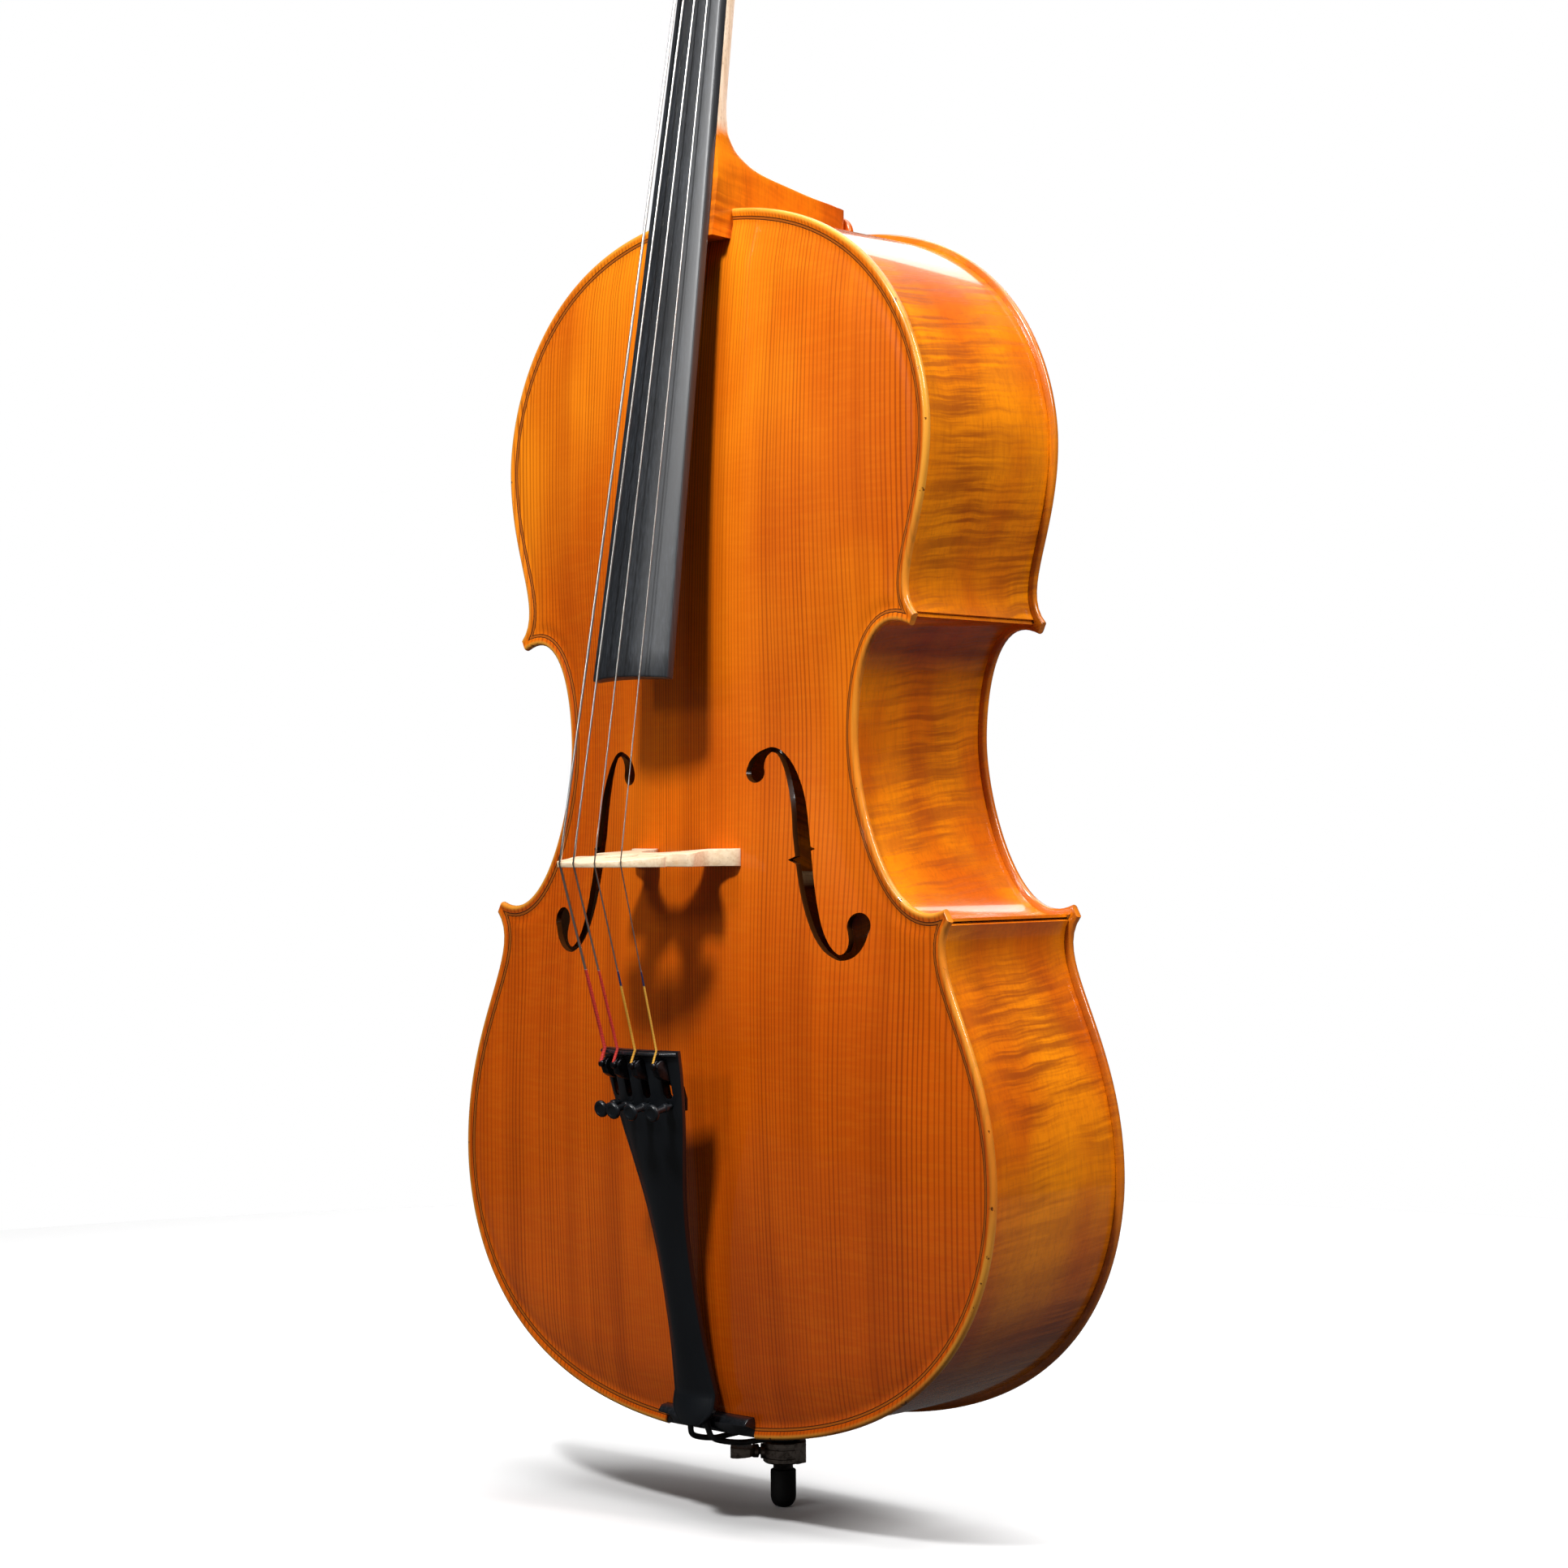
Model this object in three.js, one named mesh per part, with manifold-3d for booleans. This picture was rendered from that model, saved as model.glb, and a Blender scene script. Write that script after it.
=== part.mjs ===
// A full-size cello, in millimetres. +Z runs up the neck, -Y is the front (belly) side and +X is the
// treble side.
// The origin is the flat end of the endpin's rubber tip with the endpin slid all the way in.
import * as THREE from "three";
import { mergeVertices } from "three/addons/utils/BufferGeometryUtils.js";
import Module from "manifold-3d";

const wasm = await Module();
wasm.setup();

// ---------- driving dimensions ----------
const GAP = 0.3; // between pieces that touch

const BODY = {
  length: 750,
  ribHeight: 114,
  ribThickness: 1.8,
  overhang: 4.2, // of the plates past the ribs
  cornerOverhang: 5, // past the ribs' corners, along the outline
  plateEdge: 4.5,
  plateThickness: 4.4,
  glueMargin: 10, // flat rim inside each plate's outline
  topArch: 25,
  backArch: 24,
  archMiddle: 380, // height of the arching's highest point above the lower edge
};
const FRONT = -BODY.ribHeight / 2;
const BACK = BODY.ribHeight / 2;

// Half widths of the two bouts and the waist, each with its height above the body's lower edge.
const LOWER_BOUT = { x: 225.7, z: 163 };
const WAIST = { x: 122.5, z: 423.5 };
const UPPER_BOUT = { x: 180, z: 603 };
const UPPER_CORNER = { outer: [169.5, 494], inner: [165.5, 487] };
const LOWER_CORNER = { inner: [190, 323.5], outer: [194.5, 316] };

const F_HOLE = {
  upperEye: { x: 54.3, z: 403.8, radius: 6.2 },
  lowerEye: { x: 127.5, z: 312.7, radius: 8 },
  // centre line from eye to eye: x, z, width
  stem: [
    [54.3, 403.8, 12.4],
    [55.2, 408.2, 10.6],
    [57.8, 412.6, 7.4],
    [61.5, 415.8, 4.4],
    [65.5, 417.3, 3],
    [70.5, 415.2, 3.6],
    [76, 407.5, 6.2],
    [80.5, 396, 8.6],
    [83.6, 383, 10],
    [86.5, 362, 11],
    [91.5, 334, 10],
    [98, 313, 7.8],
    [105, 301, 5.6],
    [113, 294.8, 3.4],
    [118.5, 294.6, 4.2],
    [123.5, 298, 7.6],
    [126.6, 304, 11.5],
    [127.5, 312.7, 16],
  ],
  innerNotch: { x: 77.5, z: 351.5 },
  outerNotch: { x: 95.5, z: 358 },
};

const ENDPIN = {
  offset: 3.4, // of its axis behind the middle of the ribs
  tipRadius: 8,
  tipLength: 23,
  rodRadius: 5,
  ferruleRadius: 6.2,
  rodTop: 430, // height of the rod's inner end above the body's lower edge
  ringRadius: 12.6,
  ringHeight: 13.6,
  flangeRadius: 11.2,
  flangeHeight: 12,
  plugRadius: 12.2,
  plugTop: 44,
  ringTurn: 43.5, // degrees that the clamp ring and its thumbscrew are turned about the rod
};
const LOWER_EDGE = 54; // height of the body's lower edge above the origin

const NECK = {
  nut: { y: -42.5, z: 1029.6 }, // top edge line of the fingerboard, where it meets the nut
  angle: 8.38, // degrees between the fingerboard and the ribs
  rootBottom: 730,
  rootFrontHalf: 26.5,
  rootBackHalf: 13.8,
  buttonHalf: 14.5,
  buttonTop: 764,
};
const BOARD = { length: 576, endHalf: 32, nutHalf: 14.8, side: 6, radius: 58, hollow: 5 };
const HEAD = { setBack: 7, pegboxLength: 124, wall: 8 }; // setBack in degrees behind the neck's line
const SCROLL = { y: 1, z: 158, eyeHalf: 31 };

const BRIDGE = { z: 347.8, footThickness: 10.6, topThickness: 2.8, footY: -79.2, topHalf: 31 };
const STRING_ARC = { apexX: -6, apexY: -165.2, radius: 47 }; // curve of the strings over the bridge
const STRINGS = [
  { name: "c", bridgeX: -23, nutX: -11, tailX: -22, radius: 0.85, pegSide: -1, pegZ: 27 },
  { name: "g", bridgeX: -8, nutX: -3.7, tailX: -7.5, radius: 0.65, pegSide: -1, pegZ: 80 },
  { name: "d", bridgeX: 8, nutX: 3.7, tailX: 7.5, radius: 0.5, pegSide: 1, pegZ: 104 },
  { name: "a", bridgeX: 23, nutX: 11, tailX: 22, radius: 0.4, pegSide: 1, pegZ: 52 },
];
const PEG = { radius: 7.4, endRadius: 6, clearance: 0.15, headLength: 33, headHalf: 14 };

const TAILPIECE = { lowY: -74.2, lowZ: 26, slope: 0.2125, thickness: 4.2 };
const TUNER = { slotLow: 209.5, slotHigh: 234.5, slotHalf: 3.1, leverHalf: 2.5, screwZ: 205.5 };
const SADDLE = { half: 37.5, low: 2.6, high: 14.7, top: -69.3 };
const SOUND_POST = { x: 22, z: 338, radius: 5.5 };
const BASS_BAR = { x: -22, half: 5, low: 130, high: 650, depth: 22 };

const WOOD_SPRUCE = { color: 0xd9730f, roughness: 0.3, metalness: 0 };
const WOOD_MAPLE = { color: 0xc46a12, roughness: 0.28, metalness: 0 };
const WOOD_BARE = { color: 0xe6c79c, roughness: 0.6, metalness: 0 };
const EBONY = { color: 0x1b1b1e, roughness: 0.45, metalness: 0 };
const BLACK_PLASTIC = { color: 0x17191b, roughness: 0.4, metalness: 0 };
const STEEL = { color: 0xb9bcc0, roughness: 0.3, metalness: 0.9 };
const DARK_NICKEL = { color: 0x6f655c, roughness: 0.35, metalness: 0.9 };
const RUBBER = { color: 0x0d0d0d, roughness: 0.8, metalness: 0 };

// ---------- solids ----------
const radians = THREE.MathUtils.degToRad;
const lerp = THREE.MathUtils.lerp;
const v3 = (x, y, z) => new THREE.Vector3(x, y, z);

function range(n) {
  return Array.from({ length: n }, (_, i) => i);
}

// A geometry as a manifold-3d solid, with its faces turned outwards.
function solid(geometry) {
  const bare = new THREE.BufferGeometry();
  bare.setAttribute("position", geometry.getAttribute("position"));
  if (geometry.index) bare.setIndex(geometry.index);
  const merged = mergeVertices(bare, 1e-4);
  const index = merged.index.array;
  const kept = [];
  for (let i = 0; i < index.length; i += 3) {
    const [a, b, c] = [index[i], index[i + 1], index[i + 2]];
    if (a !== b && b !== c && a !== c) kept.push(a, b, c);
  }
  const build = (tris) =>
    new wasm.Manifold(
      new wasm.Mesh({
        numProp: 3,
        vertProperties: merged.attributes.position.array,
        triVerts: new Uint32Array(tris),
      }),
    );
  const made = build(kept);
  if (made.volume() > 0) return made;
  for (let i = 0; i < kept.length; i += 3) [kept[i + 1], kept[i + 2]] = [kept[i + 2], kept[i + 1]];
  return build(kept);
}

function geometryOf(made) {
  const mesh = made.getMesh();
  const step = mesh.numProp;
  const points = new Float32Array(mesh.numVert * 3);
  for (let i = 0; i < mesh.numVert; i++) {
    points.set(mesh.vertProperties.subarray(i * step, i * step + 3), i * 3);
  }
  const geometry = new THREE.BufferGeometry();
  geometry.setAttribute("position", new THREE.BufferAttribute(points, 3));
  geometry.setIndex(new THREE.BufferAttribute(mesh.triVerts, 1));
  return geometry;
}

function cut(base, ...tools) {
  return tools.reduce((rest, tool) => rest.subtract(tool), base);
}

function join(first, ...others) {
  return others.reduce((all, next) => all.add(next), first);
}

// The largest connected piece of a solid: a cut can leave a sliver behind.
function mainPiece(made) {
  return made.decompose().reduce((a, b) => (a.volume() > b.volume() ? a : b));
}

// A closed solid through rings of Vector3 points, each with the same count, capped at both ends.
function loft(rings) {
  const count = rings[0].length;
  const positions = rings.flat().flatMap((p) => [p.x, p.y, p.z]);
  const index = [];
  for (let r = 0; r + 1 < rings.length; r++) {
    for (let i = 0; i < count; i++) {
      const a = r * count + i;
      const b = r * count + ((i + 1) % count);
      index.push(a, b, a + count, b, b + count, a + count);
    }
  }
  const centre = (ring) =>
    ring.reduce((sum, p) => sum.add(p), v3(0, 0, 0)).multiplyScalar(1 / count);
  [rings[0], rings.at(-1)].forEach((ring, end) => {
    const middle = positions.length / 3;
    positions.push(...centre(ring).toArray());
    const first = end ? (rings.length - 1) * count : 0;
    for (let i = 0; i < count; i++) {
      const a = first + i;
      const b = first + ((i + 1) % count);
      index.push(middle, ...(end ? [a, b] : [b, a]));
    }
  });
  const geometry = new THREE.BufferGeometry();
  geometry.setAttribute("position", new THREE.Float32BufferAttribute(positions, 3));
  geometry.setIndex(index);
  return solid(geometry);
}

// A flat outline of [x, z] points, made solid between two values of y.
function slab(points, yLow, yHigh) {
  const shape = new THREE.Shape(points.map(([x, z]) => new THREE.Vector2(x, z)));
  const geometry = new THREE.ExtrudeGeometry(shape, { depth: yHigh - yLow, bevelEnabled: false });
  return solid(geometry.rotateX(Math.PI / 2).translate(0, yHigh, 0));
}

// A side profile of [y, z] points, made solid between two values of x.
function sideSlab(points, xLow, xHigh) {
  const shape = new THREE.Shape(points.map(([y, z]) => new THREE.Vector2(y, z)));
  const geometry = new THREE.ExtrudeGeometry(shape, { depth: xHigh - xLow, bevelEnabled: false });
  return solid(geometry.rotateX(Math.PI / 2).rotateZ(Math.PI / 2).translate(xLow, 0, 0));
}

function block(xLow, xHigh, yLow, yHigh, zLow, zHigh) {
  const geometry = new THREE.BoxGeometry(xHigh - xLow, yHigh - yLow, zHigh - zLow);
  return solid(
    geometry.translate((xLow + xHigh) / 2, (yLow + yHigh) / 2, (zLow + zHigh) / 2),
  );
}

// A turned solid about the Z axis from [radius, z] points that start and end on the axis.
function turned(profile, sides = 20) {
  return solid(
    new THREE.LatheGeometry(
      profile.map(([radius, z]) => new THREE.Vector2(radius, z)),
      sides,
    ).rotateX(Math.PI / 2),
  );
}

// A turned ring about the Z axis: its [radius, z] profile closes on itself.
function turnedRing(profile, sides = 20) {
  return turned([...profile, profile[0]], sides);
}

function place(made, ...steps) {
  const geometry = geometryOf(made);
  steps.forEach((matrix) => geometry.applyMatrix4(matrix));
  return solid(geometry);
}
const shift = (x, y, z) => new THREE.Matrix4().makeTranslation(x, y, z);
const aboutX = (angle) => new THREE.Matrix4().makeRotationX(angle);
const aboutY = (angle) => new THREE.Matrix4().makeRotationY(angle);

// A round tube through points, with flat ends.
function tube(points, radius, sides = 8) {
  const rings = points.map((p, i) => {
    const before = points[Math.max(i - 1, 0)];
    const after = points[Math.min(i + 1, points.length - 1)];
    const along = after.clone().sub(before).normalize();
    const side = v3(1, 0, 0).addScaledVector(along, -along.x).normalize();
    const up = along.clone().cross(side);
    return range(sides).map((k) => {
      const turn = (2 * Math.PI * (k + 0.5)) / sides;
      return p
        .clone()
        .addScaledVector(side, radius * Math.cos(turn))
        .addScaledVector(up, radius * Math.sin(turn));
    });
  });
  return loft(rings);
}

// ---------- the body's outline ----------
// Right half of the outline as three runs: neck to upper corner, waist, and lower corner to end.
const bezier = (...c) =>
  new THREE.CubicBezierCurve(...c.map(([x, z]) => new THREE.Vector2(x, z)));
const RUNS = [
  [
    bezier([0, BODY.length], [150, BODY.length], [UPPER_BOUT.x, 645], [UPPER_BOUT.x, UPPER_BOUT.z]),
    bezier([UPPER_BOUT.x, UPPER_BOUT.z], [UPPER_BOUT.x, 547], [149.5, 514], UPPER_CORNER.outer),
  ],
  [
    bezier(UPPER_CORNER.inner, [131.5, 503], [WAIST.x, 453.5], [WAIST.x, WAIST.z]),
    bezier([WAIST.x, WAIST.z], [WAIST.x, 385.5], [148.5, 305.7], LOWER_CORNER.inner),
  ],
  [
    bezier(LOWER_CORNER.outer, [171, 290], [LOWER_BOUT.x, 247], [LOWER_BOUT.x, LOWER_BOUT.z]),
    bezier([LOWER_BOUT.x, LOWER_BOUT.z], [LOWER_BOUT.x, 124], [209, 0], [0, 0]),
  ],
];
const RUN_STEPS = [15, 14, 18]; // segments that each run is drawn with
const CROWDING = 0.35; // how much shorter the segments are at the corners
const SPACING = [
  (u) => u + (CROWDING / Math.PI) * Math.sin(Math.PI * u),
  (u) => u - (CROWDING / (2 * Math.PI)) * Math.sin(2 * Math.PI * u),
  (u) => u - (CROWDING / Math.PI) * Math.sin(Math.PI * u),
];

const denseRun = (curves) =>
  curves.flatMap((curve, i) => curve.getPoints(40).slice(i ? 1 : 0));

// A polyline moved inwards, to the right of its own direction of travel.
function offsetLine(line, distance) {
  return line.map((p, i) => {
    const a = line[Math.max(i - 1, 0)];
    const b = line[Math.min(i + 1, line.length - 1)];
    const along = b.clone().sub(a).normalize();
    const moved = p.clone().add(new THREE.Vector2(along.y, -along.x).multiplyScalar(distance));
    if (Math.abs(p.x) < 1e-9) moved.x = 0;
    return moved;
  });
}

function crossing(a, b, c, d) {
  const r = b.clone().sub(a);
  const s = d.clone().sub(c);
  const bottom = r.cross(s);
  if (Math.abs(bottom) < 1e-12) return null;
  const t = c.clone().sub(a).cross(s) / bottom;
  const u = c.clone().sub(a).cross(r) / bottom;
  return t >= 0 && t <= 1 && u >= 0 && u <= 1 ? a.clone().addScaledVector(r, t) : null;
}

// Two runs that meet at a corner, each cut off where they cross.
function trimmed(first, second) {
  for (let i = first.length - 2; i >= 0; i--) {
    for (let j = 0; j + 1 < second.length; j++) {
      const at = crossing(first[i], first[i + 1], second[j], second[j + 1]);
      if (at) return [[...first.slice(0, i + 1), at], [at, ...second.slice(j + 1)]];
    }
  }
  return [first, second];
}

function lengthsAlong(line) {
  const lengths = [0];
  for (let i = 1; i < line.length; i++) lengths.push(lengths[i - 1] + line[i].distanceTo(line[i - 1]));
  return lengths;
}

// The stretch of a polyline between two distances along it, in steps that a spacing function shares out.
function resample(line, steps, from = 0, to = Infinity, spacing = (u) => u) {
  const lengths = lengthsAlong(line);
  const last = Math.min(to, lengths.at(-1));
  return range(steps + 1).map((k) => {
    const wanted = lerp(from, last, spacing(k / steps));
    let i = lengths.findIndex((value) => value >= wanted - 1e-9);
    i = Math.max(i, 1);
    const share = (wanted - lengths[i - 1]) / (lengths[i] - lengths[i - 1] || 1);
    return line[i - 1].clone().lerp(line[i], share);
  });
}

// The right half of the outline moved inwards: three runs of points, from the top centre down.
function insetRuns(distance, setback = 0) {
  const runs = RUNS.map(denseRun).map((run, i) => {
    const total = lengthsAlong(run).at(-1);
    return resample(run, 90, i === 0 ? 0 : setback, i === 2 ? total : total - setback);
  });
  const [top, waist, bottom] = runs.map((run) => offsetLine(run, distance));
  const [top1, waist1] = trimmed(top, waist);
  const [waist2, bottom1] = trimmed(waist1, bottom);
  return [top1, waist2, bottom1];
}

const byRun = (line, run, from, to) => resample(line, RUN_STEPS[run], from, to, SPACING[run]);
const resampledInset = (distance, setback) =>
  insetRuns(distance, setback).map((run, i) => byRun(run, i));

// A closed ring of the whole outline, moved inwards.
function insetRing(distance) {
  const half = resampledInset(distance).flat();
  const mirrored = half.slice(1, -1).reverse();
  return [...half, ...mirrored.map((p) => new THREE.Vector2(-p.x, p.y))];
}

const OUTLINE = insetRing(0);

function distanceToOutline(x, z) {
  const p = v3(x, z, 0);
  const line = new THREE.Line3();
  const near = v3(0, 0, 0);
  return OUTLINE.reduce((least, a, i) => {
    const b = OUTLINE[(i + 1) % OUTLINE.length];
    line.start.set(a.x, a.y, 0);
    line.end.set(b.x, b.y, 0);
    line.closestPointToPoint(p, true, near);
    return Math.min(least, near.distanceTo(p));
  }, Infinity);
}

// ---------- the arched plates ----------
const smooth = (value, low, high) => THREE.MathUtils.smoothstep(value, low, high);

// Half width that the arching spans at a height, with the corners smoothed away.
function archHalfWidth(z) {
  if (z > WAIST.z) return lerp(WAIST.x, UPPER_BOUT.x, smooth(z, WAIST.z, UPPER_BOUT.z));
  return lerp(LOWER_BOUT.x, WAIST.x, smooth(z, LOWER_BOUT.z, WAIST.z));
}

// How far a plate's outer surface stands off the ribs.
function archHeight(x, z, arch) {
  const edge = distanceToOutline(x, z);
  const span = archHalfWidth(z);
  const share = Math.min(1, Math.abs(x) / (span - 12));
  const across = ((1 + Math.cos(Math.PI * share)) / 2) ** 0.7;
  const reach = z > BODY.archMiddle ? BODY.length - BODY.archMiddle : BODY.archMiddle;
  const along = 1 - Math.abs((z - BODY.archMiddle) / reach) ** 2.5;
  const rise = (arch - BODY.plateEdge) * across * along * smooth(edge, 6, 34);
  const fluting = Math.exp(-(((edge - 9) / 5) ** 2));
  return BODY.plateEdge + rise - fluting;
}

const innerHeight = (x, z, arch) =>
  distanceToOutline(x, z) <= BODY.glueMargin + 0.5
    ? 0
    : Math.max(0, archHeight(x, z, arch) - BODY.plateThickness);

// Height on the centre line that a point of the outline is drawn in towards.
function spineHeight(z) {
  return lerp(190, 575, smooth(z, 60, 700));
}

function plateRings(distances, spineShares) {
  const rings = distances.map(insetRing);
  const last = rings.at(-1);
  const inner = spineShares.map((share) =>
    last.map((p) => new THREE.Vector2(p.x * (1 - share), lerp(p.y, spineHeight(p.y), share))),
  );
  return [...rings, ...inner];
}

// A plate: side -1 is the belly, side 1 the back.
function plate(side, arch) {
  const at = (ring, height) => ring.map((p) => v3(p.x, side * (BACK + height(p)), p.y));
  const outer = plateRings([1.4, 6, 12, 24, 42], [0.35, 0.7, 1]);
  const inner = plateRings([BODY.glueMargin, 36], [0.5, 1]);
  const rings = [
    ...inner.reverse().map((ring) => at(ring, (p) => innerHeight(p.x, p.y, arch))),
    at(OUTLINE, () => 0),
    at(OUTLINE, () => BODY.plateEdge - 1.2),
    ...outer.map((ring, i) =>
      at(ring, (p) => (i === 0 ? BODY.plateEdge : archHeight(p.x, p.y, arch))),
    ),
  ];
  const count = OUTLINE.length;
  const positions = rings.flat().flatMap((p) => [p.x, p.y, p.z]);
  const index = [];
  for (let r = 0; r + 1 < rings.length; r++) {
    for (let i = 0; i < count; i++) {
      const a = r * count + i;
      const b = r * count + ((i + 1) % count);
      index.push(a, b, a + count, b, b + count, a + count);
    }
  }
  const geometry = new THREE.BufferGeometry();
  geometry.setAttribute("position", new THREE.Float32BufferAttribute(positions, 3));
  geometry.setIndex(index);
  return solid(geometry);
}

// One sound hole, side 1 treble or -1 bass, as a solid that cuts through the belly.
function soundHole(side) {
  const mirror = (points) => points.map(([x, z]) => [side * x, z]);
  const centre = new THREE.CatmullRomCurve3(
    F_HOLE.stem.map(([x, z, width]) => v3(x, z, width)),
    false,
    "centripetal",
  ).getPoints(44);
  const edges = centre.map((p, i) => {
    const a = centre[Math.max(i - 1, 0)];
    const b = centre[Math.min(i + 1, centre.length - 1)];
    const length = Math.hypot(b.x - a.x, b.y - a.y);
    const across = [(b.y - a.y) / length, -(b.x - a.x) / length];
    return [1, -1].map((s) => [
      p.x + (s * across[0] * p.z) / 2,
      p.y + (s * across[1] * p.z) / 2,
    ]);
  });
  const stem = [...edges.map((e) => e[0]), ...edges.map((e) => e[1]).reverse()];
  const eye = ({ x, z, radius }) =>
    range(20).map((k) => {
      const turn = (2 * Math.PI * k) / 20;
      return [x + radius * Math.cos(turn), z + radius * Math.sin(turn)];
    });
  const notch = ({ x, z }, way) => [
    [x, z],
    [x + way * 6, z + 3],
    [x + way * 6, z - 3],
  ];
  const shapes = [
    stem,
    eye(F_HOLE.upperEye),
    eye(F_HOLE.lowerEye),
    notch(F_HOLE.innerNotch, 1),
    notch(F_HOLE.outerNotch, -1),
  ];
  return join(...shapes.map((shape) => slab(mirror(shape), FRONT - 60, FRONT + 40)));
}

// ---------- neck ----------
const NECK_SLOPE = Math.tan(radians(NECK.angle));
// Front of the neck under the fingerboard, at a height above the body's lower edge.
const neckFront = (z) =>
  NECK.nut.y - (NECK.nut.z - z) * NECK_SLOPE + (BOARD.side + GAP) / Math.cos(radians(NECK.angle));
const boardHalf = (z) =>
  lerp(BOARD.endHalf, BOARD.nutHalf, 1 - (NECK.nut.z - z) / (BOARD.length * Math.cos(radians(NECK.angle))));

const HEEL_TOP = 800; // where the heel has widened into the neck

// A U-shaped section of the neck or heel at one height: flat in front, round behind.
function neckSection(z, back, squareness, grow = 0) {
  const front = neckFront(z) - grow;
  const depth = back + grow - front;
  const widening = smooth(z, NECK.buttonTop, HEEL_TOP);
  const fullHalf = boardHalf(Math.max(z, HEEL_TOP)) - 0.5;
  const frontHalf = lerp(NECK.rootFrontHalf, fullHalf, widening);
  const backHalf = lerp(NECK.rootBackHalf, frontHalf, widening);
  const steps = 14;
  return range(steps + 1).map((k) => {
    const turn = (Math.PI * k) / steps;
    const c = Math.cos(turn);
    const y = front + depth * Math.abs(Math.sin(turn)) ** (2 / squareness);
    const share = Math.min(1, (y - front) / (BACK - neckFront(NECK.buttonTop)));
    const half = lerp(frontHalf, backHalf, share) + grow;
    return v3(half * Math.sign(c) * Math.abs(c) ** (2 / squareness), y, z);
  });
}

// Height, back of the section and how square it is.
const NECK_SECTIONS = [
  [766, BACK - GAP, 9],
  [767.8, 37, 8],
  [770.6, 9, 7],
  [774.4, -18, 5],
  [780.8, -36, 3.6],
  [789, -45.5, 2.8],
  [801, -50.5, 2.3],
  [815, -51, 2.1],
  [850, -46.2, 2.1],
  [887, -40.8, 2.1],
  [960, -30, 2.1],
  [1026, -19.5, 2.2],
];

const rootPrism = (grow) =>
  loft(
    [NECK.rootBottom - grow, 766].map((z) => neckSection(z, BACK - GAP, 9, grow)),
  );

// The head's own frame starts at the nut, on the fingerboard's edge line, and leans back from the neck.
const HEAD_FRAME = shift(0, NECK.nut.y, NECK.nut.z).multiply(
  aboutX(-radians(NECK.angle + HEAD.setBack)),
);
const NECK_FRAME = shift(0, NECK.nut.y, NECK.nut.z).multiply(aboutX(-radians(NECK.angle)));

// Pegbox sections: distance up the head, front, back, half width.
const PEGBOX = [
  [-6, 5.5, 26, 15.5],
  [0, 3, 30, 19],
  [6, 0, 33, 21.5],
  [40, 0, 36, 20.5],
  [80, 0, 34, 18],
  [HEAD.pegboxLength - 10, 0, 29, 15],
  [HEAD.pegboxLength + 8, 2, 27, 13.2],
];

function pegboxSection([z, front, back, half]) {
  const corner = 7;
  return [
    v3(-half, front, z),
    v3(half, front, z),
    v3(half, back - corner, z),
    v3(half - corner * 0.3, back - corner * 0.35, z),
    v3(half - corner, back, z),
    v3(-half + corner, back, z),
    v3(-half + corner * 0.3, back - corner * 0.35, z),
    v3(-half, back - corner, z),
  ];
}

function pegboxCavity() {
  const [, , , lowHalf] = PEGBOX[2];
  const highHalf = PEGBOX[5][3];
  const section = (z, half, back) => [
    v3(-half, -20, z),
    v3(half, -20, z),
    v3(half, back, z),
    v3(-half, back, z),
  ];
  return loft([
    section(13, lowHalf - HEAD.wall, 20),
    section(20, lowHalf - HEAD.wall, 26),
    section(80, 18 - HEAD.wall, 27),
    section(110, highHalf - HEAD.wall + 1.5, 23.5),
    section(118, highHalf - HEAD.wall + 1.5, 15),
  ]);
}

// The scroll's volute: radius at an angle in degrees, from straight back through the top to the front.
function voluteRadius(angle) {
  return 34.5 * Math.exp(-0.00215 * Math.max(0, angle - 60));
}

// One turn of the volute as a disc with the turn's outline, standing out to a half width.
function voluteDisc(from, half) {
  const steps = 28;
  const outline = range(steps).map((k) => {
    const angle = from + (360 * k) / steps;
    const turn = radians(angle);
    const radius = voluteRadius(angle);
    return [SCROLL.y + radius * Math.cos(turn), SCROLL.z + radius * Math.sin(turn)];
  });
  return sideSlab(outline, -half, half);
}

function scroll() {
  const throat = loft(
    [
      [116, 0, 28.5, 14],
      [136, 6, 34, 12.5],
      [156, 6, 35.2, 12.5],
    ].map(pegboxSection),
  );
  return join(
    throat,
    voluteDisc(-50, 12.5),
    voluteDisc(230, 20),
    voluteDisc(470, 26.5),
    voluteDisc(700, SCROLL.eyeHalf),
  );
}

// How far behind the pegbox's front face a peg lies.
const pegDepth = (pegZ) => lerp(15.8, 12.4, pegZ / 104);

function pegHole({ pegSide, pegZ }) {
  const radius = (share) => lerp(PEG.radius, PEG.endRadius, share) + PEG.clearance;
  const hole = turned([
    [0, -30],
    [radius(1), -30],
    [radius(0), 30],
    [0, 30],
  ]);
  return place(hole, aboutY((pegSide * Math.PI) / 2), shift(0, pegDepth(pegZ), pegZ));
}

function neckAndScroll() {
  const neck = loft(NECK_SECTIONS.map(([z, back, squareness]) => neckSection(z, back, squareness)));
  const head = join(loft(PEGBOX.map(pegboxSection)), scroll());
  const open = place(cut(head, pegboxCavity(), ...STRINGS.map(pegHole)), HEAD_FRAME);
  const seat = place(block(-30, 30, -30, BOARD.side + GAP, -60, 7.8 + GAP), NECK_FRAME);
  return mainPiece(join(neck, rootPrism(0), cut(open, seat)));
}

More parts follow.
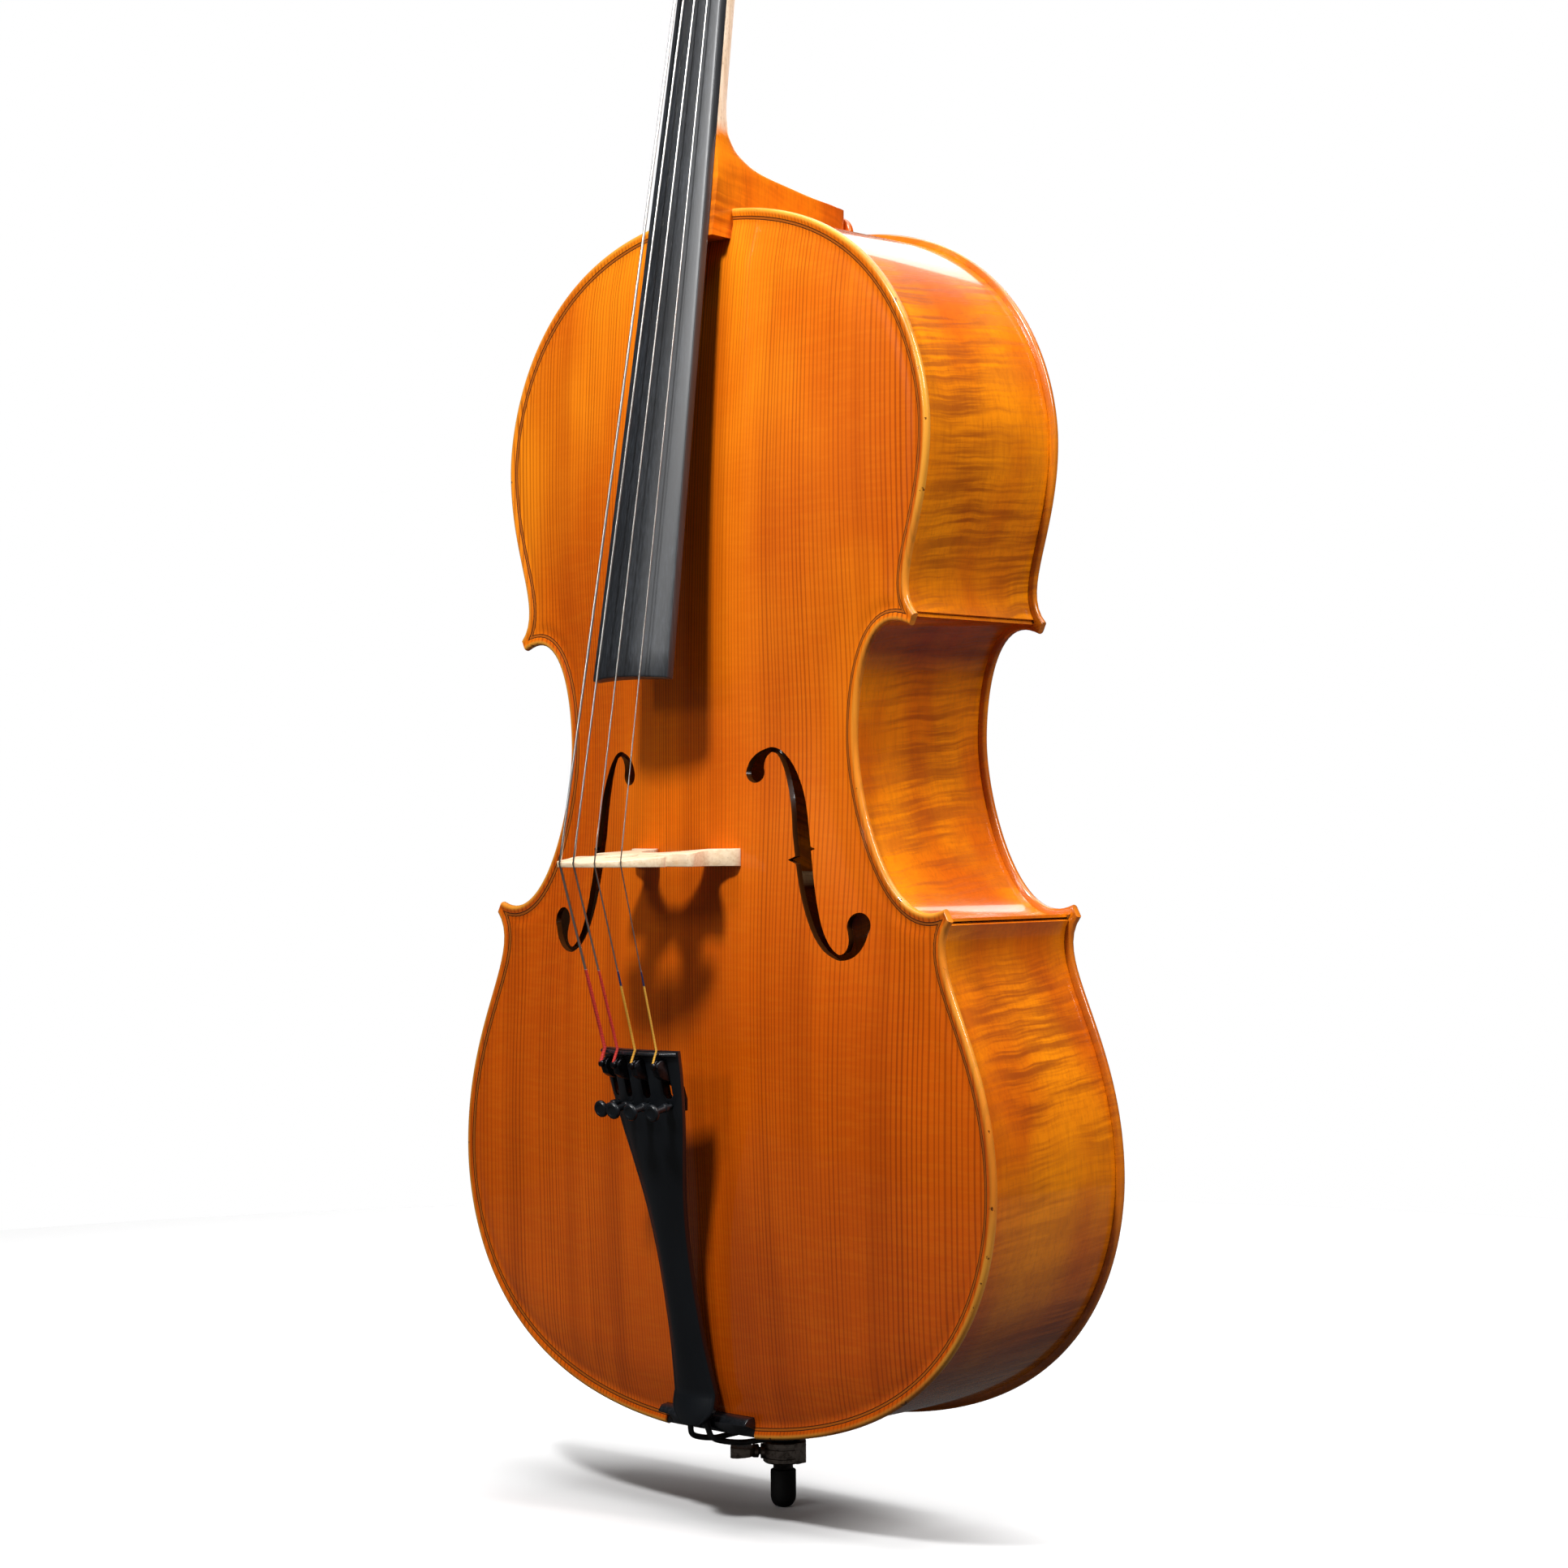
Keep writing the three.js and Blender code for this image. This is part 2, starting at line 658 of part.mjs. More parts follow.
// Fingerboard in the neck frame: share runs from its end over the belly (0) to the nut (1).
function boardSection(share, hollow) {
  const half = lerp(BOARD.endHalf, BOARD.nutHalf, share);
  const rise = (x) =>
    Math.sqrt(BOARD.radius ** 2 - x ** 2) - Math.sqrt(BOARD.radius ** 2 - half ** 2);
  const z = -BOARD.length * (1 - share);
  const top = range(13).map((k) => {
    const x = lerp(-half, half, k / 12);
    return v3(x, -rise(x), z);
  });
  const under = range(9).map((k) => {
    const x = lerp(half - 0.4, -half + 0.4, k / 8);
    return v3(x, BOARD.side - hollow * (1 - (x / half) ** 2), z);
  });
  return [...top, ...under];
}

function fingerboard() {
  return loft([
    boardSection(0, BOARD.hollow),
    boardSection(0.42, BOARD.hollow),
    boardSection(0.47, 0),
    boardSection(1, 0),
  ]);
}

// ---------- ribs, blocks and linings ----------
const inRib = BODY.overhang + BODY.ribThickness + GAP;

// A strip between two insets of one run, standing between two values of y.
function strip(run, near, far, yLow, yHigh, startCut = 0, endCut = 0) {
  const line = (distance) => {
    const points = insetRuns(distance, BODY.cornerOverhang)[run];
    return byRun(points, run, startCut, lengthsAlong(points).at(-1) - endCut);
  };
  const outline = [...line(near), ...line(far).reverse()];
  return slab(outline.map((p) => [p.x, p.y]), yLow, yHigh);
}

const mirrorX = (made) => place(made, new THREE.Matrix4().makeScale(-1, 1, 1));
const bothSides = (made) => ({ treble: made, bass: mirrorX(made) });

function ribs() {
  const bore = place(
    turned([
      [0, -20],
      [ENDPIN.plugRadius + GAP, -20],
      [ENDPIN.plugRadius + GAP, 40],
      [0, 40],
    ]),
    shift(0, ENDPIN.offset, 0),
  );
  const near = BODY.overhang;
  const far = BODY.overhang + BODY.ribThickness;
  const [low, high] = [FRONT + GAP, BACK - GAP];
  const upper = cut(strip(0, near, far, low, high, 5, GAP), rootPrism(GAP));
  const centre = strip(1, near, far, low, high, GAP, GAP);
  const lower = cut(strip(2, near, far, low, high, GAP, GAP / 2), bore);
  return { upper: mainPiece(upper), centre: mainPiece(centre), lower: mainPiece(lower), bore };
}

function insideOf(distance) {
  const half = resampledInset(distance, BODY.cornerOverhang).flat();
  const mirrored = half.slice(1, -1).reverse();
  const ring = [...half, ...mirrored.map((p) => new THREE.Vector2(-p.x, p.y))];
  const clean = ring.filter((p, i) => i === 0 || p.distanceTo(ring[i - 1]) > 1e-6);
  return slab(clean.map((p) => [p.x, p.y]), FRONT + GAP, BACK - GAP);
}

function linings() {
  const near = inRib + 0.9;
  const far = near + 2.6;
  const height = 15;
  // distances that each run's linings stop short of its two ends, to clear the blocks
  const cuts = [
    [42, 30],
    [38, 50],
    [30, 42],
  ];
  const sides = { top: [FRONT + GAP, FRONT + height], back: [BACK - height, BACK - GAP] };
  const made = {};
  ["upper", "centre", "lower"].forEach((bout, run) => {
    Object.entries(sides).forEach(([side, [low, high]]) => {
      made[`${bout}_${side}`] = strip(run, near, far, low, high, ...cuts[run]);
    });
  });
  return made;
}

// What is left of a piece when a plate, moved towards it by the gap, is cut away.
const fitted = (made, against, towards) =>
  mainPiece(cut(made, place(against, shift(0, towards * GAP, 0))));

function bassBar(belly) {
  const heights = range(15).map((k) => lerp(BASS_BAR.low, BASS_BAR.high, k / 14));
  const under = (z) => FRONT - innerHeight(BASS_BAR.x, z, BODY.topArch);
  const depth = (z) => {
    const share = (z - BASS_BAR.low) / (BASS_BAR.high - BASS_BAR.low);
    return 4 + BASS_BAR.depth * Math.sin(Math.PI * share);
  };
  const outline = [
    ...heights.map((z) => [under(z) - 2.5, z]),
    ...heights.reverse().map((z) => [under(z) + depth(z), z]),
  ];
  const bar = sideSlab(outline, BASS_BAR.x - BASS_BAR.half, BASS_BAR.x + BASS_BAR.half);
  return fitted(bar, belly, 1);
}

function soundPost(belly, back) {
  const { x, z, radius } = SOUND_POST;
  const reach = (arch) => innerHeight(x, z, arch) + 2;
  const low = FRONT - reach(BODY.topArch);
  const high = BACK + reach(BODY.backArch);
  const post = turned([
    [0, low],
    [radius, low],
    [radius, high],
    [0, high],
  ]);
  const inPlace = place(post, aboutX(-Math.PI / 2), shift(x, 0, z));
  return fitted(fitted(inPlace, belly, 1), back, -1);
}

// ---------- strings and what carries them ----------
const stringHeight = (x) =>
  STRING_ARC.apexY + (x - STRING_ARC.apexX) ** 2 / (2 * STRING_ARC.radius);
const TAIL_TILT = Math.atan(TAILPIECE.slope);
// Side edge of the tailpiece at a height; it lifts again towards the lower tip.
const tailEdgeY = (z) =>
  TAILPIECE.lowY - Math.abs(z - TAILPIECE.lowZ) * TAILPIECE.slope - (z < TAILPIECE.lowZ ? 0.6 : 0);

// Half width and crown of the tailpiece at a height.
const TAIL_SECTIONS = [
  [238.5, 32.3, 8.5],
  [222, 31, 8],
  [205, 28.6, 7.5],
  [190, 25.8, 7],
  [170, 21.3, 6.5],
  [150, 17.1, 6],
  [130, 14.3, 5.5],
  [108, 12.9, 5.5],
  [84, 12.9, 5.5],
  [60, 13.8, 5.5],
  [40, 15.8, 5],
  [25, 17.6, 4.5],
  [17, 16.6, 4],
  [12, 12.5, 3.2],
  [8.5, 8, 2.4],
];
const BRIDGE_TOP_Z = BRIDGE.z + 2.2;

// The bridge in the X-Y plane, right half from the foot up; the left half mirrors it.
function bridgeHalf(side) {
  const foot = BRIDGE.footY;
  const top = stringHeight(side * BRIDGE.topHalf) + 1.9;
  return [
    [45.6, foot + 6],
    [44.6, foot - 3.4],
    [34, foot - 9.5],
    [31.5, foot - 14],
    [36.5, foot - 26],
    [40.5, foot - 34],
    [39.5, foot - 38],
    [30, foot - 38.5],
    [25, foot - 42],
    [24.5, foot - 48],
    [29, foot - 52.5],
    [37.5, foot - 54],
    [38, foot - 58],
    [34, foot - 66],
    [BRIDGE.topHalf + 1.4, lerp(foot - 66, top, 0.5)],
    [BRIDGE.topHalf, top],
  ].map(([x, y]) => [side * x, y]);
}

function bridge(belly) {
  const crown = range(11).map((k) => {
    const x = lerp(BRIDGE.topHalf - 4, -BRIDGE.topHalf + 4, k / 10);
    return [x, stringHeight(x) + 1.7];
  });
  const foot = BRIDGE.footY;
  const arch = [
    [-22.5, foot + 6],
    [-21, foot - 4],
    [-19.5, foot - 10],
    [-17, foot - 20],
    [-10, foot - 28],
    [0, foot - 30.5],
    [10, foot - 28],
    [17, foot - 20],
    [19.5, foot - 10],
    [21, foot - 4],
    [22.5, foot + 6],
  ];
  const outline = [...bridgeHalf(1), ...crown, ...bridgeHalf(-1).reverse(), ...arch];
  const heart = new THREE.Shape();
  heart.moveTo(0, foot - 42);
  heart.bezierCurveTo(9, foot - 50, 13, foot - 57, 7.5, foot - 60);
  heart.bezierCurveTo(4, foot - 61.5, 1.2, foot - 59.5, 0, foot - 56);
  heart.bezierCurveTo(-1.2, foot - 59.5, -4, foot - 61.5, -7.5, foot - 60);
  heart.bezierCurveTo(-13, foot - 57, -9, foot - 50, 0, foot - 42);
  const blank = new THREE.Shape(outline.map(([x, y]) => new THREE.Vector2(x, y)));
  const flat = (shape, depth) =>
    new THREE.ExtrudeGeometry(shape, { depth, bevelEnabled: false, curveSegments: 5 });
  const geometry = flat(blank, 1);
  const at = geometry.attributes.position;
  for (let i = 0; i < at.count; i++) {
    const share = THREE.MathUtils.clamp((at.getY(i) - foot) / (STRING_ARC.apexY - foot), 0, 1);
    const thickness = lerp(BRIDGE.footThickness, BRIDGE.topThickness, share);
    at.setZ(i, BRIDGE.z + at.getZ(i) * thickness);
  }
  const hearted = cut(solid(geometry), solid(flat(heart, 30).translate(0, 0, BRIDGE.z - 10)));
  return fitted(hearted, belly, -1);
}

function tailpieceSection([z, half, crown]) {
  const steps = 12;
  const edge = tailEdgeY(z);
  const top = range(steps + 1).map((k) => {
    const share = lerp(-1, 1, k / steps);
    return v3(half * share, edge - crown * (1 - share ** 2), z);
  });
  const back = [1, 0.5, 0, -0.5, -1].map((share) =>
    v3(half * share * 0.94, edge + TAILPIECE.thickness - crown * 0.55 * (1 - share ** 2), z),
  );
  return [...top, ...back];
}

// Crown of the tailpiece at a tuner, measured like tailEdgeY.
const tailCrownY = (x) => tailEdgeY(TUNER.screwZ) - 7.5 * (1 - (x / 28.6) ** 2);

const screwFrame = ({ tailX }) =>
  shift(tailX, tailCrownY(tailX), TUNER.screwZ).multiply(aboutX(Math.PI / 2 + TAIL_TILT));

function tailpiece() {
  const shell = loft(TAIL_SECTIONS.map(tailpieceSection));
  const tools = STRINGS.flatMap((string) => {
    const { tailX } = string;
    const slot = block(
      tailX - TUNER.slotHalf,
      tailX + TUNER.slotHalf,
      -150,
      -90,
      TUNER.slotLow,
      TUNER.slotHigh - 1,
    );
    const bore = place(
      turned([
        [0, -20],
        [1.7, -20],
        [1.7, 9],
        [0, 9],
      ], 12),
      screwFrame(string),
    );
    return [slot, bore];
  });
  return mainPiece(cut(shell, ...tools));
}

// A tuner's screw in its own frame: z is out of the tailpiece's face.
function tunerScrew() {
  return turned([
    [0, -9],
    [1.45, -9],
    [1.45, 13.5],
    [2.4, 13.6],
    [5, 14.4],
    [5.2, 15.4],
    [5, 16.4],
    [4, 17],
    [0, 17],
  ], 14);
}

// A tuner's lever in the (y, z) plane about its pivot: the hook above, the arm that the screw presses behind.
function tunerLever() {
  const outline = [
    [-6.6, 2.6],
    [-5.4, 6],
    [-1.6, 7.4],
    [2.6, 6],
    [5, 2],
    [10.4, -3],
    [16.6, -9.6],
    [19.2, -17],
    [19.2, -24],
    [16.8, -24],
    [16.8, -17.4],
    [13.2, -11.8],
    [5.8, -6.2],
    [-1, -4.4],
    [-4.4, -2.4],
  ];
  return sideSlab(outline, -TUNER.leverHalf, TUNER.leverHalf);
}

const leverPivot = ({ tailX }) => v3(tailX, tailCrownY(tailX) - 7, 226);

function pegHeadOutline() {
  const { headLength, headHalf } = PEG;
  return range(16).map((k) => {
    const turn = (2 * Math.PI * k) / 16;
    const swell = 1 + 0.1 * Math.cos(turn);
    return [headHalf * Math.sin(turn) * swell, headLength / 2 + (headLength / 2) * Math.cos(turn)];
  });
}

// A peg about its own Z axis, which points out through its head. The pegbox's middle is at z = 0.
function peg() {
  const cheek = 24; // where the collar starts, past the pegbox's side
  const shaft = turned([
    [0, -26],
    [PEG.endRadius - 0.6, -26],
    [PEG.endRadius, -25],
    [lerp(PEG.endRadius, PEG.radius, 0.9), cheek],
    [10, cheek + 1],
    [10, cheek + 4],
    [6.5, cheek + 6],
    [6, cheek + 12],
    [0, cheek + 12],
  ]);
  const headPlate = place(slab(pegHeadOutline(), -4.5, 4.5), shift(0, 0, cheek + 8));
  return join(shaft, headPlate);
}

const pegPlace = ({ pegSide, pegZ }) =>
  HEAD_FRAME.clone().multiply(shift(0, pegDepth(pegZ), pegZ)).multiply(aboutY((pegSide * Math.PI) / 2));

// Where a string's winding sits across the pegbox.
const windingX = ({ nutX }) => nutX * 0.5;
const WINDING = { inner: 7.2, outer: 9.2, half: 3 };

function winding(string) {
  const x = string.pegSide * windingX(string);
  return turnedRing([
    [WINDING.inner, x - WINDING.half],
    [WINDING.outer, x - WINDING.half + 0.6],
    [WINDING.outer, x + WINDING.half - 0.6],
    [WINDING.inner, x + WINDING.half],
  ]);
}

function stringPath(string) {
  const { bridgeX, nutX, tailX, radius } = string;
  const bridgeY = stringHeight(bridgeX);
  const nut = v3(nutX, -4.1 + (Math.abs(nutX) > 8 ? 0.9 : 0), 3).applyMatrix4(NECK_FRAME);
  const behindNut = v3(nutX * 0.97, -2.4, 8.6).applyMatrix4(NECK_FRAME);
  const reach = WINDING.outer + GAP + radius;
  const onPeg = v3(windingX(string), pegDepth(string.pegZ) - reach, string.pegZ - 3).applyMatrix4(HEAD_FRAME);
  const pivot = leverPivot(string);
  const tailTop = v3(tailX, tailEdgeY(239.5) - 8.5 * (1 - (tailX / 32.3) ** 2) - radius - 0.9, 239.5);
  const hook = v3(tailX, pivot.y - 7.6 - radius, pivot.z + 4);
  return [hook, tailTop, v3(bridgeX, bridgeY, BRIDGE_TOP_Z), nut, behindNut, onPeg];
}

function nut() {
  const section = (z, top) => {
    const half = 15.6;
    const upper = range(7).map((k) => {
      const x = lerp(-half, half, k / 6);
      return v3(x, top + 1.1 * (x / half) ** 2, z);
    });
    return [...upper, v3(half, 5.9, z), v3(-half, 5.9, z)];
  };
  return loft([section(GAP, -2.6), section(3, -2.8), section(7.8, -1.2)]);
}

function saddle() {
  const { half, low, high, top } = SADDLE;
  const profile = [
    [FRONT, low],
    [FRONT, high],
    [FRONT - 6.5, high],
    [top, high - 3.4],
    [top + 1.5, high - 7],
    [FRONT - 4.4, low],
  ];
  const body = sideSlab(profile, -half, half);
  const slope = (side) =>
    slab(
      [
        [side * 20, low - 1],
        [side * (half + 1), low - 1],
        [side * (half + 1), high - 5],
      ],
      top - 5,
      FRONT - 4.5,
    );
  return cut(body, slope(1), slope(-1));
}

// The tail cord: out of the tailpiece's end, over the saddle, round the endpin's flange and back.
function tailCord() {
  const radius = 1.8;
  const half = [
    v3(6.5, -71.7, 30.5),
    v3(6.5, -70.2, 28),
    v3(6.6, -70.2, 22),
    v3(6.8, SADDLE.top - radius - 0.8, 12.5),
    v3(7.6, SADDLE.top - radius + 0.4, 5.5),
    v3(9, FRONT - 9.5, -1),
    v3(11, -48, -5.6),
    v3(13.5, -30, -6.4),
    v3(15.2, -12, -6.6),
    v3(15.4, ENDPIN.offset, -6.8),
  ];
  const reach = ENDPIN.flangeRadius + GAP + radius + 0.4;
  const round = range(5).map((k) => {
    const turn = (Math.PI * (k + 1)) / 6;
    return v3(reach * Math.cos(turn), ENDPIN.offset + reach * Math.sin(turn), -6.8);
  });
  const other = half.map((p) => v3(-p.x, p.y, p.z)).reverse();
  const curve = new THREE.CatmullRomCurve3([...half, ...round, ...other], false, "centripetal");
  return tube(curve.getSpacedPoints(46), radius, 7);
}

// ---------- endpin, about its own axis, with z from the body's lower edge ----------
function endpinParts() {
  const ringTop = -ENDPIN.flangeHeight - 1;
  const ringLow = ringTop - ENDPIN.ringHeight;
  const tipTop = -LOWER_EDGE + ENDPIN.tipLength;
  const bore = ENDPIN.rodRadius + 0.15;
  const socket = turnedRing([
    [bore, ringTop + GAP],
    [ENDPIN.flangeRadius - 0.6, ringTop + GAP],
    [ENDPIN.flangeRadius, ringTop + 1.2],
    [ENDPIN.flangeRadius, -4],
    [15.2, -3.6],
    [15.2, -0.6],
    [ENDPIN.plugRadius, -0.3],
    [ENDPIN.plugRadius - 1.2, ENDPIN.plugTop],
    [bore, ENDPIN.plugTop],
  ], 24);
  const groove = (z) => [
    [ENDPIN.ringRadius, z + 0.6],
    [ENDPIN.ringRadius - 0.6, z],
    [ENDPIN.ringRadius, z - 0.6],
  ];
  const screwBore = place(
    turned([
      [0, 0],
      [2.6, 0],
      [2.6, 30],
      [0, 30],
    ], 16),
    aboutY(-Math.PI / 2),
    shift(0, 0, (ringTop + ringLow) / 2),
  );
  // A boss round the thumbscrew and, across from it, the lug where the ring is split.
  const boss = place(
    turned([
      [0, 10],
      [4.6, 10],
      [4.2, 14.2],
      [0, 14.2],
    ], 16),
    aboutY(-Math.PI / 2),
    shift(0, 0, (ringTop + ringLow) / 2),
  );
  const lug = place(
    slab(
      [
        [6, 7],
        [6, -9],
        [9.5, -10.4],
        [14.4, -5],
        [14.4, 3.5],
        [11, 6],
      ],
      -ENDPIN.ringHeight / 2,
      ENDPIN.ringHeight / 2,
    ),
    aboutX(-Math.PI / 2),
    shift(0, 0, (ringTop + ringLow) / 2),
  );
  const ringBore = turned([
    [0, ringLow - 5],
    [bore, ringLow - 5],
    [bore, ringTop + 5],
    [0, ringTop + 5],
  ], 24);
  const ring = cut(
    join(boss, lug, turnedRing([
      [bore, ringTop],
      [ENDPIN.ringRadius - 0.8, ringTop],
      ...groove(ringTop - 4),
      ...groove(ringLow + 3.4),
      [ENDPIN.ringRadius - 0.8, ringLow],
      [bore, ringLow],
    ], 24)),
    screwBore,
    ringBore,
  );
  const rod = turned([
    [0, tipTop + GAP],
    [ENDPIN.ferruleRadius, tipTop + GAP],
    [ENDPIN.ferruleRadius, ringLow - 0.6],
    [ENDPIN.rodRadius, ringLow - 0.5],
    [ENDPIN.rodRadius, ENDPIN.rodTop - 1],
    [ENDPIN.rodRadius - 1, ENDPIN.rodTop],
    [0, ENDPIN.rodTop],
  ]);
  const flat = 4.5;
  const tip = turned([
    [0, -LOWER_EDGE],
    [flat, -LOWER_EDGE],
    [6.6, -LOWER_EDGE + 1.6],
    [ENDPIN.tipRadius, -LOWER_EDGE + 5],
    [ENDPIN.tipRadius, tipTop - 0.8],
    [ENDPIN.tipRadius - 0.8, tipTop],
    [0, tipTop],
  ]);
  return { socket, ring, rod, tip, screwZ: (ringTop + ringLow) / 2 };
}

// The thumbscrew about its own Z axis: a short threaded shank and a flat wing.
function thumbscrew() {
  const shank = turned([
    [0, 6.2],
    [2.3, 6.2],
    [2.3, 15],
    [4.2, 15.2],
    [4.2, 19],
    [0, 20],
  ], 16);
  const wing = slab(
    [
      [-3.4, 17],
      [3.4, 17],
      [8, 20.5],
      [8.6, 29],
      [6, 33],
      [-6, 33],
      [-8.6, 29],
      [-8, 20.5],
    ],
    -3.4,
    3.4,
  );
  return join(shank, wing);
}

// ---------- assembly ----------
const cello = new THREE.Group();
const instrument = new THREE.Group(); // its frame: mid-rib plane and the body's lower edge
instrument.position.set(0, -ENDPIN.offset, LOWER_EDGE);
cello.add(instrument);

function add(parent, name, made, look, matrix) {
  const mesh = new THREE.Mesh(geometryOf(made), new THREE.MeshStandardMaterial(look));
  mesh.name = name;
  if (matrix) mesh.applyMatrix4(matrix);
  parent.add(mesh);
  return mesh;
}

const { upper, centre, lower, bore } = ribs();
const inside = insideOf(inRib + 0.6);
const root = rootPrism(GAP);

const saddleSeat = block(
  -SADDLE.half - GAP,
  SADDLE.half + GAP,
  -120,
  FRONT + 1,
  -20,
  SADDLE.high + GAP,
);
const belly = mainPiece(
  cut(plate(-1, BODY.topArch), soundHole(1), soundHole(-1), root, saddleSeat),
);
const button = slab(
  range(13).map((k) => {
    const turn = (Math.PI * k) / 12;
    const z = NECK.buttonTop - 14 + 14 * Math.sin(turn) ** 0.8;
    return [NECK.buttonHalf * Math.cos(turn), k === 0 || k === 12 ? 742 : z];
  }),
  BACK,
  BACK + BODY.plateEdge,
);
const back = join(plate(1, BODY.backArch), button);
add(instrument, "top_plate", belly, WOOD_SPRUCE);
add(instrument, "back_plate", back, WOOD_MAPLE);

for (const [bout, made] of Object.entries({ upper, centre, lower })) {
  for (const [side, rib] of Object.entries(bothSides(made))) {
    add(instrument, `rib_${bout}_${side}`, rib, WOOD_MAPLE);
  }
}

add(
  instrument,
  "neck_block",
  mainPiece(cut(inside.intersect(block(-38, 38, -80, 80, 696, 760)), root)),
  WOOD_BARE,
);
add(
  instrument,
  "end_block",
  mainPiece(cut(inside.intersect(block(-38, 38, -80, 80, 0, 40)), bore)),
  WOOD_BARE,
);
const cornerBlocks = {
  upper: inside.intersect(block(134, 175, -80, 80, 480, 524)),
  lower: inside.intersect(block(148, 200, -80, 80, 290, 336)),
};
for (const [corner, made] of Object.entries(cornerBlocks)) {
  for (const [side, piece] of Object.entries(bothSides(mainPiece(made)))) {
    add(instrument, `corner_block_${corner}_${side}`, piece, WOOD_BARE);
  }
}
for (const [name, made] of Object.entries(linings())) {
  for (const [side, piece] of Object.entries(bothSides(made))) {
    add(instrument, `lining_${name}_${side}`, piece, WOOD_BARE);
  }
}
add(instrument, "bass_bar", bassBar(belly), WOOD_BARE);
add(instrument, "sound_post", soundPost(belly, back), WOOD_BARE);

add(instrument, "neck_and_scroll", neckAndScroll(), WOOD_MAPLE);
add(instrument, "fingerboard", fingerboard(), EBONY, NECK_FRAME);
add(instrument, "nut", nut(), EBONY, NECK_FRAME);
add(instrument, "saddle", saddle(), EBONY);
add(instrument, "bridge", bridge(belly), WOOD_BARE);
add(instrument, "tailpiece", tailpiece(), BLACK_PLASTIC);
add(instrument, "tail_cord", tailCord(), BLACK_PLASTIC);

for (const string of STRINGS) {
  const { name } = string;
  const pivot = leverPivot(string);
  add(instrument, `tuner_screw_${name}`, tunerScrew(), BLACK_PLASTIC, screwFrame(string));
  add(
    instrument,
    `tuner_lever_${name}`,
    tunerLever(),
    BLACK_PLASTIC,
    shift(pivot.x, pivot.y, pivot.z),
  );
  add(instrument, `string_${name}`, tube(stringPath(string), string.radius), STEEL);
  add(instrument, `peg_${name}`, peg(), EBONY, pegPlace(string));
  add(instrument, `string_winding_${name}`, winding(string), STEEL, pegPlace(string));
}

const endpin = endpinParts();
const endpinGroup = new THREE.Group();
endpinGroup.position.z = LOWER_EDGE;
cello.add(endpinGroup);
add(endpinGroup, "endpin_socket", endpin.socket, BLACK_PLASTIC);
add(endpinGroup, "endpin_rod", endpin.rod, STEEL);
add(endpinGroup, "endpin_tip", endpin.tip, RUBBER);
const clamp = new THREE.Group();
clamp.rotation.z = radians(ENDPIN.ringTurn);
endpinGroup.add(clamp);
add(clamp, "endpin_clamp_ring", endpin.ring, DARK_NICKEL);
add(
  clamp,
  "endpin_thumbscrew",
  thumbscrew(),
  DARK_NICKEL,
  shift(0, 0, endpin.screwZ)
    .multiply(aboutY(-Math.PI / 2))
    .multiply(new THREE.Matrix4().makeRotationZ(Math.PI / 2)),
);

export default cello;
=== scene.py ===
"""Looks of the cello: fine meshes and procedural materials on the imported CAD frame.

Shapes are written in millimetres in the body's own frame (x from the centre line, y from the middle of the
ribs, z from the lower edge of the plates) and turned into metres in the shared frame when a mesh is made.
"""

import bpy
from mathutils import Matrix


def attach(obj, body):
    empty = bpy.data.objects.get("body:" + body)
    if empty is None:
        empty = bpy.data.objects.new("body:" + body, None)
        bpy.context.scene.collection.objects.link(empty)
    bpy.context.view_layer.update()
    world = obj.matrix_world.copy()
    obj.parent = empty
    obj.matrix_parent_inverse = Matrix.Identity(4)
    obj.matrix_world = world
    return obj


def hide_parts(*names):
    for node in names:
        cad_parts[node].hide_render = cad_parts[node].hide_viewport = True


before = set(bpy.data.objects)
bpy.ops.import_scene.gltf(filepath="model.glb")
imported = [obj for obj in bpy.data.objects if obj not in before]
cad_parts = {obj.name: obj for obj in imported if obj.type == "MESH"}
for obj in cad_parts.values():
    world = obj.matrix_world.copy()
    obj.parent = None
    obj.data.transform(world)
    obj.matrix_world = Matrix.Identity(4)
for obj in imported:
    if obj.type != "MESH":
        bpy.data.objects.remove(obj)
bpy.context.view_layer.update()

import math

import bmesh
import bpy
import numpy as np
from mathutils import Matrix, Vector

MM = 0.001
BODY_ORIGIN = np.array([0.0, -3.4, 54.0])  # of the body's frame in the shared frame

# ---------------------------------------------------------------- driving dimensions (mm)
RIB_PLANE = 57.0
PLATE_EDGE = 4.5
PLATE_THICKNESS = 4.4
TOP_ARCH = 25.0
BACK_ARCH = 24.0
BODY_LENGTH = 750.0
ARCH_MIDDLE = 380.0
LOWER_BOUT = (225.7, 163.0)
WAIST = (122.5, 423.5)
UPPER_BOUT = (180.0, 603.0)
RIB_INSET = 4.2
RIB_THICKNESS = 1.8
NUT = (-42.5, 1029.6)  # y, z of the fingerboard's edge line at the nut
NECK_ANGLE = math.radians(8.38)
HEAD_ANGLE = math.radians(8.38 + 7)
BOARD_LENGTH = 576.0
BOARD_SIDE = 6.0
BOARD_RADIUS = 58.0
BOARD_HALF = (32.0, 14.8)  # half widths at its free end and at the nut
BRIDGE_Z = 347.8
BRIDGE_FOOT_Y = -79.2
BRIDGE_FOOT_Z = 353.0
SADDLE_HALF = 37.4
ENDPIN_OFFSET = 3.4
STRING_ARC = (-6.0, -165.2, 47.0)  # apex x, apex y and radius of the strings' curve over the bridge
